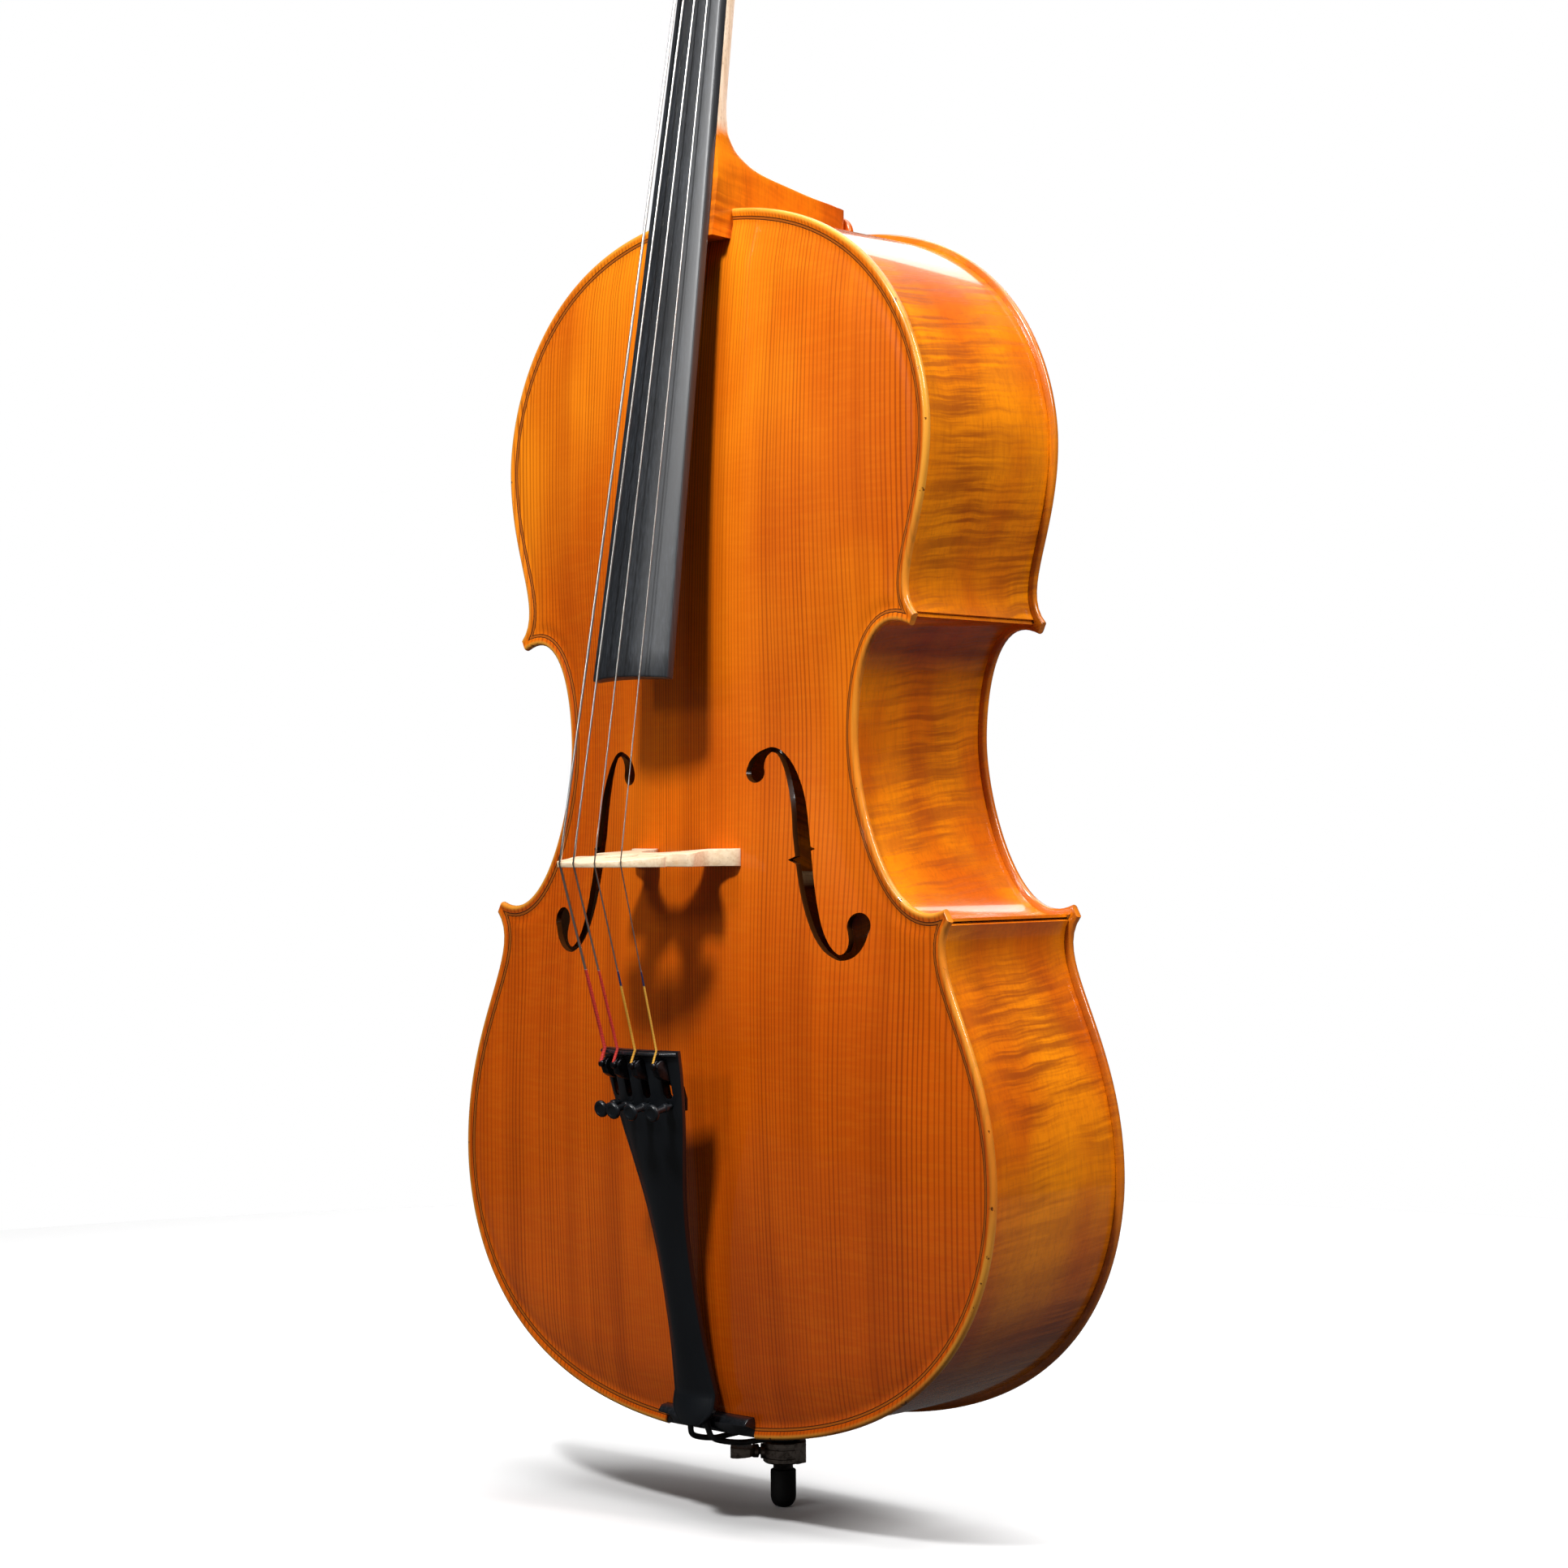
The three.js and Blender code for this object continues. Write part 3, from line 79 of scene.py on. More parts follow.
# name: x on the bridge, at the nut and on the tailpiece, radius, side of the peg's head, peg's place
STRINGS = {
    "c": (-23.0, -11.0, -22.0, 0.85, -1, 27.0),
    "g": (-8.0, -3.7, -7.5, 0.65, -1, 80.0),
    "d": (8.0, 3.7, 7.5, 0.5, 1, 104.0),
    "a": (23.0, 11.0, 22.0, 0.4, 1, 52.0),
}


def lerp(a, b, t):
    return a + (b - a) * t


def smooth(value, low, high):
    t = np.clip((np.asarray(value, float) - low) / (high - low), 0, 1)
    return t * t * (3 - 2 * t)


# ---------------------------------------------------------------- mesh helpers
def new_object(name, verts, faces, matrix=None, sharp=40.0, attributes=None):
    """A smooth-shaded mesh from points in millimetres of the body's frame, or of `matrix`'s frame."""
    points = np.asarray(verts, float).reshape(-1, 3)
    if matrix is not None:
        m = np.array(matrix)
        points = points @ m[:3, :3].T + m[:3, 3]
    points = (points + BODY_ORIGIN) * MM
    mesh = bpy.data.meshes.new(name)
    mesh.from_pydata([tuple(p) for p in points], [], [tuple(map(int, f)) for f in faces])
    for key, values in (attributes or {}).items():
        layer = mesh.attributes.new(key, "FLOAT", "POINT")
        layer.data.foreach_set("value", np.asarray(values, np.float32))
    bm = bmesh.new()
    bm.from_mesh(mesh)
    bmesh.ops.remove_doubles(bm, verts=bm.verts, dist=1e-6)
    bmesh.ops.recalc_face_normals(bm, faces=bm.faces)
    bm.to_mesh(mesh)
    bm.free()
    mesh.shade_smooth()
    mesh.set_sharp_from_angle(angle=math.radians(sharp))
    mesh.validate()
    obj = bpy.data.objects.new(name, mesh)
    bpy.context.scene.collection.objects.link(obj)
    return obj


def dress(obj, material, replaces=(), body="body"):
    obj.data.materials.clear()
    obj.data.materials.append(material)
    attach(obj, body)
    if replaces:
        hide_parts(*replaces)


def skin(rings, closed=True, caps=True):
    """Points and faces through rings with equal counts."""
    rings = np.asarray(rings, float)
    rows, count = rings.shape[:2]
    faces = []
    span = count if closed else count - 1
    for r in range(rows - 1):
        for i in range(span):
            a, b = r * count + i, r * count + (i + 1) % count
            faces.append((a, b, b + count, a + count))
    if caps:
        faces.append(tuple(range(count))[::-1])
        faces.append(tuple(range((rows - 1) * count, rows * count)))
    return rings.reshape(-1, 3), faces


def row(x, y, z):
    """Points from arrays of coordinates, or single numbers, that go together."""
    return np.stack(np.broadcast_arrays(x, y, z), axis=-1).astype(float)


def mirrored(half):
    """A closed outline from its right half, as points whose first number is x."""
    half = np.asarray(half, float)
    return np.vstack([half, half[::-1] * (-1, 1)])


def join_parts(*parts):
    verts, faces, start = [], [], 0
    for points, quads in parts:
        verts.append(np.asarray(points, float).reshape(-1, 3))
        faces += [tuple(i + start for i in f) for f in quads]
        start += len(verts[-1])
    return np.concatenate(verts), faces


def baked(obj):
    """Applies an object's modifiers."""
    mesh = bpy.data.meshes.new_from_object(obj.evaluated_get(bpy.context.evaluated_depsgraph_get()))
    obj.modifiers.clear()
    obj.data = mesh


def carve(obj, shape, matrix=None):
    """Cuts a closed shape, as points and faces, out of an object."""
    cutter = new_object("cutter", *shape, matrix)
    modifier = obj.modifiers.new("cut", "BOOLEAN")
    modifier.operation = "DIFFERENCE"
    modifier.solver = "EXACT"
    modifier.use_self = True
    modifier.object = cutter
    baked(obj)
    bpy.data.objects.remove(cutter)
    obj.data.set_sharp_from_angle(angle=math.radians(40))


def bevelled(obj, width, segments=2, angle=30.0):
    modifier = obj.modifiers.new("bevel", "BEVEL")
    modifier.width = width * MM
    modifier.segments = segments
    modifier.limit_method = "ANGLE"
    modifier.angle_limit = math.radians(angle)
    baked(obj)
    obj.data.shade_smooth()
    obj.data.set_sharp_from_angle(angle=math.radians(50))


def shift(x, y, z):
    return Matrix.Translation((x, y, z))


def about_x(angle):
    return Matrix.Rotation(angle, 4, "X")


def about_y(angle):
    return Matrix.Rotation(angle, 4, "Y")


def about_z(angle):
    return Matrix.Rotation(angle, 4, "Z")


NECK_FRAME = shift(0, NUT[0], NUT[1]) @ about_x(-NECK_ANGLE)
HEAD_FRAME = shift(0, NUT[0], NUT[1]) @ about_x(-HEAD_ANGLE)


def lathe(profile, sides=48):
    """A turned solid about the Z axis from [radius, z] points."""
    turns = np.arange(sides) * 2 * math.pi / sides
    rings = [
        [(max(radius, 1e-4) * math.cos(t), max(radius, 1e-4) * math.sin(t), z) for t in turns]
        for radius, z in profile
    ]
    return skin(rings)


def tube(points, radius, sides=12):
    """A round tube through points; the radius may be one number or one for each point."""
    points = np.asarray(points, float)
    radii = np.broadcast_to(radius, (len(points),))
    along = np.gradient(points, axis=0)
    along /= np.linalg.norm(along, axis=1)[:, None]
    turns = np.arange(sides) * 2 * math.pi / sides
    side = np.eye(3)[np.argmin(np.abs(along[0]))]
    rings = []
    for point, ahead, reach in zip(points, along, radii):
        side = side - (side @ ahead) * ahead
        side = side / np.linalg.norm(side)
        up = np.cross(ahead, side)
        rings.append(point + reach * (np.outer(np.cos(turns), side) + np.outer(np.sin(turns), up)))
    return skin(rings)


def catmull(points, steps):
    """A smooth curve through points of any width."""
    p = np.asarray(points, float)
    p = np.concatenate([[2 * p[0] - p[1]], p, [2 * p[-1] - p[-2]]])
    out = []
    for i in range(1, len(p) - 2):
        for t in np.arange(steps) / steps:
            a, b, c, d = p[i - 1], p[i], p[i + 1], p[i + 2]
            square, cube = 2 * a - 5 * b + 4 * c - d, 3 * b - a - 3 * c + d
            out.append(0.5 * (2 * b + (c - a) * t + square * t**2 + cube * t**3))
    out.append(p[-2])
    return np.array(out)


def prism(outline, low, high, axis):
    """A flat outline made solid along an axis: 'x' takes (y, z) points, 'y' (x, z) and 'z' (x, y)."""
    outline = np.asarray(outline, float)
    place = {"x": (1, 2, 0), "y": (0, 2, 1), "z": (0, 1, 2)}[axis]
    rings = np.zeros((2, len(outline), 3))
    for ring, level in zip(rings, (low, high)):
        ring[:, place[0]] = outline[:, 0]
        ring[:, place[1]] = outline[:, 1]
        ring[:, place[2]] = level
    return skin(rings)


# ---------------------------------------------------------------- outline of the plates
def bezier(p0, p1, p2, p3, steps=110):
    t = np.linspace(0, 1, steps + 1)[:, None]
    p0, p1, p2, p3 = (np.asarray(p, float) for p in (p0, p1, p2, p3))
    return (1 - t) ** 3 * p0 + 3 * (1 - t) ** 2 * t * p1 + 3 * (1 - t) * t**2 * p2 + t**3 * p3


def chain(*curves):
    return np.concatenate([curves[0]] + [c[1:] for c in curves[1:]])


RUNS = [
    chain(
        bezier((0, BODY_LENGTH), (150, BODY_LENGTH), (180, 645), UPPER_BOUT),
        bezier(UPPER_BOUT, (180, 547), (149.5, 514), (169.5, 494)),
    ),
    chain(
        bezier((165.5, 487), (131.5, 503), (122.5, 453.5), WAIST),
        bezier(WAIST, (122.5, 385.5), (148.5, 305.7), (190, 323.5)),
    ),
    chain(
        bezier((194.5, 316), (171, 290), (225.7, 247), LOWER_BOUT),
        bezier(LOWER_BOUT, (225.7, 124), (209, 0), (0, 0)),
    ),
]
RUN_STEPS = (70, 60, 84)
FINE_STEPS = 200  # points along an offset run before it is cut to its corners


def distances(line):
    return np.concatenate([[0], np.cumsum(np.linalg.norm(np.diff(line, axis=0), axis=1))])


def resample(line, steps, start=0.0, end=None):
    along = distances(line)
    wanted = np.linspace(start, along[-1] if end is None else end, steps + 1)
    return np.stack([np.interp(wanted, along, line[:, k]) for k in (0, 1)], axis=1)


def offset(line, distance):
    along = np.empty_like(line)
    along[1:-1] = line[2:] - line[:-2]
    along[0], along[-1] = line[1] - line[0], line[-1] - line[-2]
    along /= np.linalg.norm(along, axis=1)[:, None]
    moved = line + distance * np.stack([along[:, 1], -along[:, 0]], axis=1)
    moved[np.abs(line[:, 0]) < 1e-9, 0] = 0
    return moved


def trimmed(first, second):
    """Two lines cut off where they cross, nearest the end of the first."""
    a, r = first[:-1, None], np.diff(first, axis=0)[:, None]
    c, s = second[None, :-1], np.diff(second, axis=0)[None]
    cross = r[..., 0] * s[..., 1] - r[..., 1] * s[..., 0]
    gap = c - a
    with np.errstate(divide="ignore", invalid="ignore"):
        t = (gap[..., 0] * s[..., 1] - gap[..., 1] * s[..., 0]) / cross
        u = (gap[..., 0] * r[..., 1] - gap[..., 1] * r[..., 0]) / cross
    hits = np.argwhere((t >= 0) & (t <= 1) & (u >= 0) & (u <= 1))
    if not len(hits):
        return first, second
    i, j = hits[-1]
    at = first[i] + t[i, j] * (first[i + 1] - first[i])
    return np.vstack([first[: i + 1], at]), np.vstack([at, second[j + 1 :]])


def inset_runs(distance, setback=0.0):
    runs = []
    for i, run in enumerate(RUNS):
        total = distances(run)[-1]
        start = setback if i > 0 else 0
        end = total - (setback if i < 2 else 0)
        runs.append(offset(resample(run, FINE_STEPS, start, end), distance))
    runs[0], runs[1] = trimmed(runs[0], runs[1])
    runs[1], runs[2] = trimmed(runs[1], runs[2])
    return runs


def inset_ring(distance):
    half = np.concatenate([resample(run, n) for run, n in zip(inset_runs(distance), RUN_STEPS)])
    return np.concatenate([half, half[1:-1][::-1] * (-1, 1)])


def outline_distance(points):
    """Distance from (x, z) points to the outline, leaving out the corners' flat ends."""
    points = np.column_stack([np.abs(points[:, 0]), points[:, 1]])
    nearest = np.full(len(points), 1e9)
    for run in RUNS:
        for a, b in zip(run[:-1:2], run[2::2]):
            ab = b - a
            t = np.clip(((points - a) @ ab) / (ab @ ab), 0, 1)
            nearest = np.minimum(nearest, np.linalg.norm(points - a - t[:, None] * ab, axis=1))
    return nearest


# ---------------------------------------------------------------- arched plates
def arch_half_width(z):
    upper = lerp(WAIST[0], UPPER_BOUT[0], smooth(z, WAIST[1], UPPER_BOUT[1]))
    lower = lerp(LOWER_BOUT[0], WAIST[0], smooth(z, LOWER_BOUT[1], WAIST[1]))
    return np.where(z > WAIST[1], upper, lower)


def arch_height(points, edge, arch):
    x, z = points[:, 0], points[:, 1]
    share = np.minimum(1, np.abs(x) / (arch_half_width(z) - 12))
    across = ((1 + np.cos(np.pi * share)) / 2) ** 0.7
    reach = np.where(z > ARCH_MIDDLE, BODY_LENGTH - ARCH_MIDDLE, ARCH_MIDDLE)
    along = 1 - np.abs((z - ARCH_MIDDLE) / reach) ** 2.5
    rise = (arch - PLATE_EDGE) * across * along * smooth(edge, 6, 34)
    return PLATE_EDGE + rise - 1.1 * np.exp(-(((edge - 9) / 4.5) ** 2))


def spine(z):
    """Height on the centre line that a point of the last ring closes in on."""
    return lerp(190, 575, smooth(z, 60, 700))


# inset from the outline and height above the ribs, round the plate's rounded edge
EDGE_ROUND = [(5.2, 0), (1.2, 0), (0.35, 0.6), (0.05, 1.6), (0.05, 2.7), (0.4, 3.8), (1.1, 4.5), (2.1, 4.8)]
LAST_INSET = 42  # inside it the rings close in on the plate's spine
EDGE_LIP = 3.2
OUTER_INSETS = [EDGE_LIP, 4.3, 5.4, 6.6, 8, 9.6, 11.5, 14, 17, 21, 26, 33, LAST_INSET]
INNER_INSETS = [10, 18, 30, LAST_INSET]
GLUED_WIDTH = 11  # the flat band that the ribs and linings are glued to


def plate(name, side, arch):
    rings = []
    spokes = np.linspace(0, 1, 12)[1:]

    def add(ring, height):
        rings.append(row(ring[:, 0], side * (RIB_PLANE + height), ring[:, 1]))

    last = inset_ring(LAST_INSET)
    middle = spine(last[:, 1])
    drawn_in = [np.column_stack([last[:, 0] * (1 - s), lerp(last[:, 1], middle, s)]) for s in spokes]
    for ring in drawn_in[::-1] + [inset_ring(d) for d in INNER_INSETS[::-1]]:
        edge = outline_distance(ring)
        hollow = np.maximum(0, arch_height(ring, edge, arch) - PLATE_THICKNESS)
        add(ring, np.where(edge < GLUED_WIDTH, 0, hollow))
    for inset, height in EDGE_ROUND:
        add(inset_ring(inset), np.full(len(last), float(height)))
    for inset in OUTER_INSETS:
        ring = inset_ring(inset)
        lip = 0.3 * max(0.0, 1 - abs(inset - EDGE_LIP) / 2.5)
        add(ring, arch_height(ring, np.full(len(ring), inset), arch) + lip)
    for ring in drawn_in:
        add(ring, arch_height(ring, outline_distance(ring), arch))
    return new_object(name, *skin(rings, caps=False), sharp=60)


def mark_edge(obj):
    """Stores each point's distance from the outline, for the purfling."""
    mesh = obj.data
    co = np.empty(len(mesh.vertices) * 3, np.float32)
    mesh.vertices.foreach_get("co", co)
    points = co.reshape(-1, 3) / MM - BODY_ORIGIN
    edge = outline_distance(points[:, [0, 2]])
    layer = mesh.attributes.new("edge", "FLOAT", "POINT")
    layer.data.foreach_set("value", edge.astype(np.float32))


# ---------------------------------------------------------------- shaders
class Shader:
    """A material with one Principled shader and short calls for the nodes that feed it."""

    def __init__(self, name, **settings):
        self.material = bpy.data.materials.new(name)
        self.material.use_nodes = True
        self.tree = self.material.node_tree
        self.bsdf = self.tree.nodes["Principled BSDF"]
        for key, value in settings.items():
            self.set(key.replace("_", " "), value)

    def set(self, socket, value):
        self.feed(self.bsdf.inputs[socket], value)

    def feed(self, socket, value):
        if isinstance(value, bpy.types.NodeSocket):
            self.tree.links.new(value, socket)
        else:
            if socket.type == "RGBA" and len(value) == 3:
                value = (*value, 1)
            socket.default_value = value

    def node(self, kind, inputs=None, **props):
        made = self.tree.nodes.new("ShaderNode" + kind)
        for key, value in props.items():
            setattr(made, key, value)
        for key, value in (inputs or {}).items():
            self.feed(made.inputs[key], value)
        return made

    def coords(self, sx=1.0, sy=1.0, sz=1.0):
        """Object coordinates in millimetres of the shared frame, each axis scaled."""
        where = self.node("TexCoord").outputs["Object"]
        scale = (sx / MM, sy / MM, sz / MM)
        return self.node("Mapping", {"Vector": where, "Scale": scale}).outputs[0]

    def axis(self, letter):
        """One coordinate in millimetres of the shared frame."""
        return self.node("SeparateXYZ", {"Vector": self.coords()}).outputs[letter]

    def normal(self):
        return self.node("TexCoord").outputs["Normal"]

    def attribute(self, name):
        return self.node("Attribute", attribute_name=name).outputs["Fac"]

    def math(self, operation, a, b=0.0):
        return self.node("Math", {0: a, 1: b}, operation=operation).outputs[0]

    def times(self, a, b):
        return self.math("MULTIPLY", a, b)

    def plus(self, a, b):
        return self.math("ADD", a, b)

    def vector(self, x, y, z):
        return self.node("CombineXYZ", {0: x, 1: y, 2: z}).outputs[0]

    def noise(self, vector, detail=3.0, rough=0.5):
        ins = {"Vector": vector, "Scale": 1.0, "Detail": detail, "Roughness": rough}
        return self.node("TexNoise", ins).outputs["Fac"]

    def ramp(self, value, low, high, out_low=0.0, out_high=1.0):
        """Smooth step of a value between two limits."""
        ins = {0: value, 1: low, 2: high, 3: out_low, 4: out_high}
        return self.node("MapRange", ins, interpolation_type="SMOOTHSTEP").outputs[0]

    def band(self, value, low, high, soft):
        """1 between two limits, with soft edges."""
        rising = self.ramp(value, low - soft, low + soft)
        falling = self.ramp(value, high - soft, high + soft, 1.0, 0.0)
        return self.times(rising, falling)

    def mix(self, share, a, b):
        made = self.node("Mix", data_type="RGBA", blend_type="MIX")
        self.feed(made.inputs[0], share)
        self.feed(made.inputs[6], a)
        self.feed(made.inputs[7], b)
        return made.outputs[2]

    def bump(self, height, strength, distance):
        ins = {"Height": height, "Strength": strength, "Distance": distance}
        self.set("Normal", self.node("Bump", ins).outputs[0])


def rgb(red, green, blue):
    """An sRGB colour from 0 to 255 as linear values."""
    shares = (red / 255, green / 255, blue / 255)
    return tuple(((c + 0.055) / 1.055) ** 2.4 if c > 0.04 else c / 12.92 for c in shares)


# The belly's colour low and high up: the high one is painted brighter and more golden as painted light, where
# the key lamp falls stronger, besides the varnish's own tone.
SPRUCE_LOW_SHADED = (0.78, 0.125, 0.0015)
SPRUCE_HIGH_LIT = (0.97, 0.275, 0.006)
SPRUCE_CLOUD = (0.60, 0.085, 0.001)
SPRUCE_SILK = (0.95, 0.28, 0.012)
SPRUCE_STREAK = (0.40, 0.052, 0.001)
YEAR_LINE = (0.22, 0.028, 0.001)
# Lighter golden colour for the plate's rim: a painted highlight on the rounded edge, together with worn
# varnish.
RIM_SHEEN_AND_WEAR = (0.80, 0.33, 0.035)
NICK = (0.12, 0.03, 0.004)
# Near-black colour for the f-holes' cut walls: painted shade inside the openings.
CUT_WALL_SHADE = (0.07, 0.02, 0.004)
PURFLING_DARK = (0.03, 0.010, 0.004)
GOLDEN = (0.97, 0.275, 0.002)
AMBER = (0.66, 0.115, 0.001)
BROWN = (0.25, 0.036, 0.001)


def spruce():
    """Bookmatched spruce: fine dark year lines, close at the middle and wider towards the flanks."""
    s = Shader("varnished_spruce", Roughness=0.3, Coat_Weight=0.5, Coat_Roughness=0.05, IOR=1.45)
    s.set("Specular IOR Level", 0.25)
    drift = s.noise(s.coords(0.004, 0.004, 0.0016), detail=2)
    x = s.math("ABSOLUTE", s.plus(s.axis("X"), s.times(drift, 10.0)))
    count = s.math("LOGARITHM", s.plus(s.times(x, 0.0053), 1.0), math.e)
    years = s.times(count, 96.0)
    uneven = s.noise(s.vector(s.times(years, 0.35), 0.0, 0.0), detail=2)
    turn = s.plus(s.times(years, 2 * math.pi), s.times(uneven, 9.0))
    lines = s.ramp(s.math("SINE", turn), 0.1, 0.95)
    strong = s.noise(s.vector(s.times(x, 0.05), 0.0, s.times(drift, 3.0)))
    strong = s.ramp(strong, 0.3, 0.7)
    lines = s.times(lines, s.plus(s.times(strong, 0.38), 0.22))
    streak = s.ramp(s.noise(s.coords(0.035, 0.035, 0.0012), detail=3), 0.45, 0.7)
    cloud = s.ramp(s.noise(s.coords(0.0065, 0.0065, 0.0035), detail=3), 0.36, 0.62)
    silk = s.ramp(s.noise(s.coords(0.05, 0.05, 0.4), detail=3), 0.4, 0.7)
    # Painted light, partly the varnish's own tone: from height 260 to 760 the belly is painted brighter and
    # more golden towards the top, where the key lamp falls stronger, and darker and redder towards the
    # bottom.
    height = s.plus(s.axis("Z"), s.times(cloud, -90.0))
    lit_warmth = s.ramp(height, 260.0, 760.0)
    ground = s.mix(lit_warmth, SPRUCE_LOW_SHADED, SPRUCE_HIGH_LIT)
    colour = s.mix(s.times(cloud, 0.75), ground, SPRUCE_CLOUD)
    colour = s.mix(s.times(silk, 0.1), colour, SPRUCE_SILK)
    colour = s.mix(s.times(streak, 0.4), colour, SPRUCE_STREAK)
    colour = s.mix(lines, colour, YEAR_LINE)
    edge = s.attribute("edge")
    # Painted highlight, partly worn varnish: a patchy lighter golden band along the plate's rounded edge.
    rim = s.ramp(edge, 1.4, 3.8, 1.0, 0.0)
    worn = s.ramp(s.noise(s.coords(0.02, 0.02, 0.012), detail=3), 0.35, 0.65, 0.45, 1.0)
    colour = s.mix(s.times(rim, worn), colour, RIM_SHEEN_AND_WEAR)
    colour = purfled(s, colour, edge, (0.42, 0.10, 0.008))
    nicks = s.ramp(s.noise(s.coords(0.13, 0.13, 0.13), detail=4, rough=0.7), 0.64, 0.7)
    colour = s.mix(s.times(nicks, rim), colour, NICK)
    # Painted shade: the f-holes' cut walls, which face sideways away from the edge, are painted nearly black.
    facing = s.math("ABSOLUTE", s.node("SeparateXYZ", {"Vector": s.normal()}).outputs["Y"])
    wall_shade = s.times(s.ramp(facing, 0.2, 0.5, 1.0, 0.0), s.ramp(edge, 10.0, 14.0))
    colour = s.mix(wall_shade, colour, CUT_WALL_SHADE)
    s.set("Base Color", colour)
    s.bump(lines, 0.1, 0.0002)
    return s.material


def purfled(s, colour, edge, strip):
    """Two thin dark lines with a brown strip between them, let in along the plate's edge."""
    inlay = s.band(edge, 5.1, 7.3, 0.1)
    dark = s.plus(s.band(edge, 5.1, 5.6, 0.1), s.band(edge, 6.8, 7.3, 0.1))
    colour = s.mix(inlay, colour, strip)
    return s.mix(s.math("MINIMUM", dark, 1.0), colour, PURFLING_DARK)


def flamed(name, along, period=0.07, edge=False):
    """Varnished maple: broken stripes of flame across the `along` coordinate, in millimetres."""
    s = Shader(name, Roughness=0.26, Coat_Weight=0.7, Coat_Roughness=0.04, IOR=1.45)
    run = along(s)
    wander = s.noise(s.coords(0.02, 0.02, 0.012), detail=2)
    run = s.plus(run, s.times(wander, 10.0))
    x, y = s.axis("X"), s.axis("Y")
    across = s.plus(s.times(y, 0.009), s.times(x, 0.006))
    wide = s.noise(s.vector(s.times(run, period), across, 0.0), detail=3, rough=0.55)
    narrow = s.noise(s.vector(s.times(run, period * 3.5), s.times(across, 2.0), 4.0), detail=2)
    flame = s.plus(s.times(wide, 0.55), s.times(narrow, 0.45))
    flame = s.ramp(flame, 0.4, 0.6)
    fade = s.ramp(s.noise(s.coords(0.011, 0.011, 0.009), detail=2), 0.35, 0.65, 0.25, 0.95)
    patch = s.ramp(s.noise(s.coords(0.009, 0.012, 0.007), detail=3), 0.36, 0.66)
    fibre = s.noise(s.coords(0.5, 0.5, 0.05), detail=3, rough=0.6)
    pores = s.ramp(s.noise(s.coords(1.2, 1.2, 0.12), detail=2), 0.62, 0.7)
    colour = s.mix(patch, GOLDEN, AMBER)
    colour = s.mix(s.times(flame, s.times(fade, 0.75)), colour, BROWN)
    colour = s.mix(s.times(s.ramp(fibre, 0.4, 0.7), 0.2), colour, BROWN)
    colour = s.mix(s.times(pores, 0.25), colour, BROWN)
    if edge:
        distance = s.attribute("edge")
        rim = s.ramp(distance, 2.2, 4.6, 1.0, 0.0)
        colour = s.mix(s.times(rim, 0.5), colour, (0.5, 0.13, 0.012))
        colour = purfled(s, colour, distance, (0.24, 0.08, 0.012))
    s.set("Base Color", colour)
    s.set("Roughness", s.plus(s.times(flame, 0.08), 0.22))
    s.bump(fibre, 0.05, 0.0002)
    return s


def back_maple():
    """Two flamed halves that meet in a herringbone along the centre joint."""
    def along(s):
        sideways = s.math("ABSOLUTE", s.axis("X"))
        return s.plus(s.axis("Z"), s.times(sideways, -0.32))

    return flamed("varnished_back", along, 0.1, edge=True).material


def rib_maple():
    def along(s):
        return s.plus(s.attribute("run"), s.times(s.axis("Y"), 0.1))

    return flamed("varnished_ribs", along, 0.11).material


def neck_maple():
    """Varnished heel and head with a bare grip between them."""
    s = flamed("varnished_neck", lambda s: s.plus(s.axis("Z"), s.times(s.axis("Y"), 0.2)), 0.08)
    varnish = s.bsdf.inputs["Base Color"].links[0].from_socket
    fibre = s.noise(s.coords(0.7, 0.7, 0.04), detail=4, rough=0.65)
    dots = s.ramp(s.noise(s.coords(1.6, 1.6, 0.3), detail=2), 0.6, 0.68)
    bare = s.mix(s.ramp(fibre, 0.35, 0.7), (0.88, 0.70, 0.52), (0.70, 0.48, 0.30))
    bare = s.mix(s.times(dots, 0.45), bare, rgb(120, 84, 56))
    ragged = s.times(s.noise(s.coords(0.1, 0.1, 0.1), detail=3), 14.0)
    z = s.plus(s.axis("Z"), ragged)
    share = s.band(z, 858.0, 1078.0, 7.0)
    s.set("Base Color", s.mix(share, varnish, bare))
    s.set("Coat Weight", s.times(s.math("SUBTRACT", 1.0, share), 0.6))
    s.set("Roughness", s.plus(s.times(share, 0.2), 0.26))
    return s.material


def inner_wood():
    s = Shader("inner_wood", Roughness=0.75)
    fibre = s.noise(s.coords(0.6, 0.6, 0.03), detail=4, rough=0.6)
    s.set("Base Color", s.mix(fibre, rgb(196, 160, 112), rgb(150, 112, 70)))
    s.bump(fibre, 0.2, 0.0002)
    return s.material


def ebony(name="ebony", roughness=0.46):
    s = Shader(name, Roughness=roughness, Specular_IOR_Level=0.75)
    fibre = s.noise(s.coords(0.9, 0.9, 0.02), detail=4, rough=0.6)
    cloud = s.noise(s.coords(0.02, 0.02, 0.01), detail=3)
    streaks = s.mix(s.ramp(fibre, 0.4, 0.75), rgb(24, 27, 31), rgb(46, 50, 56))
    s.set("Base Color", s.mix(s.ramp(cloud, 0.4, 0.7), streaks, rgb(16, 18, 21)))
    s.set("Roughness", s.plus(s.times(fibre, 0.14), roughness - 0.07))
    s.bump(fibre, 0.1, 0.0002)
    return s.material


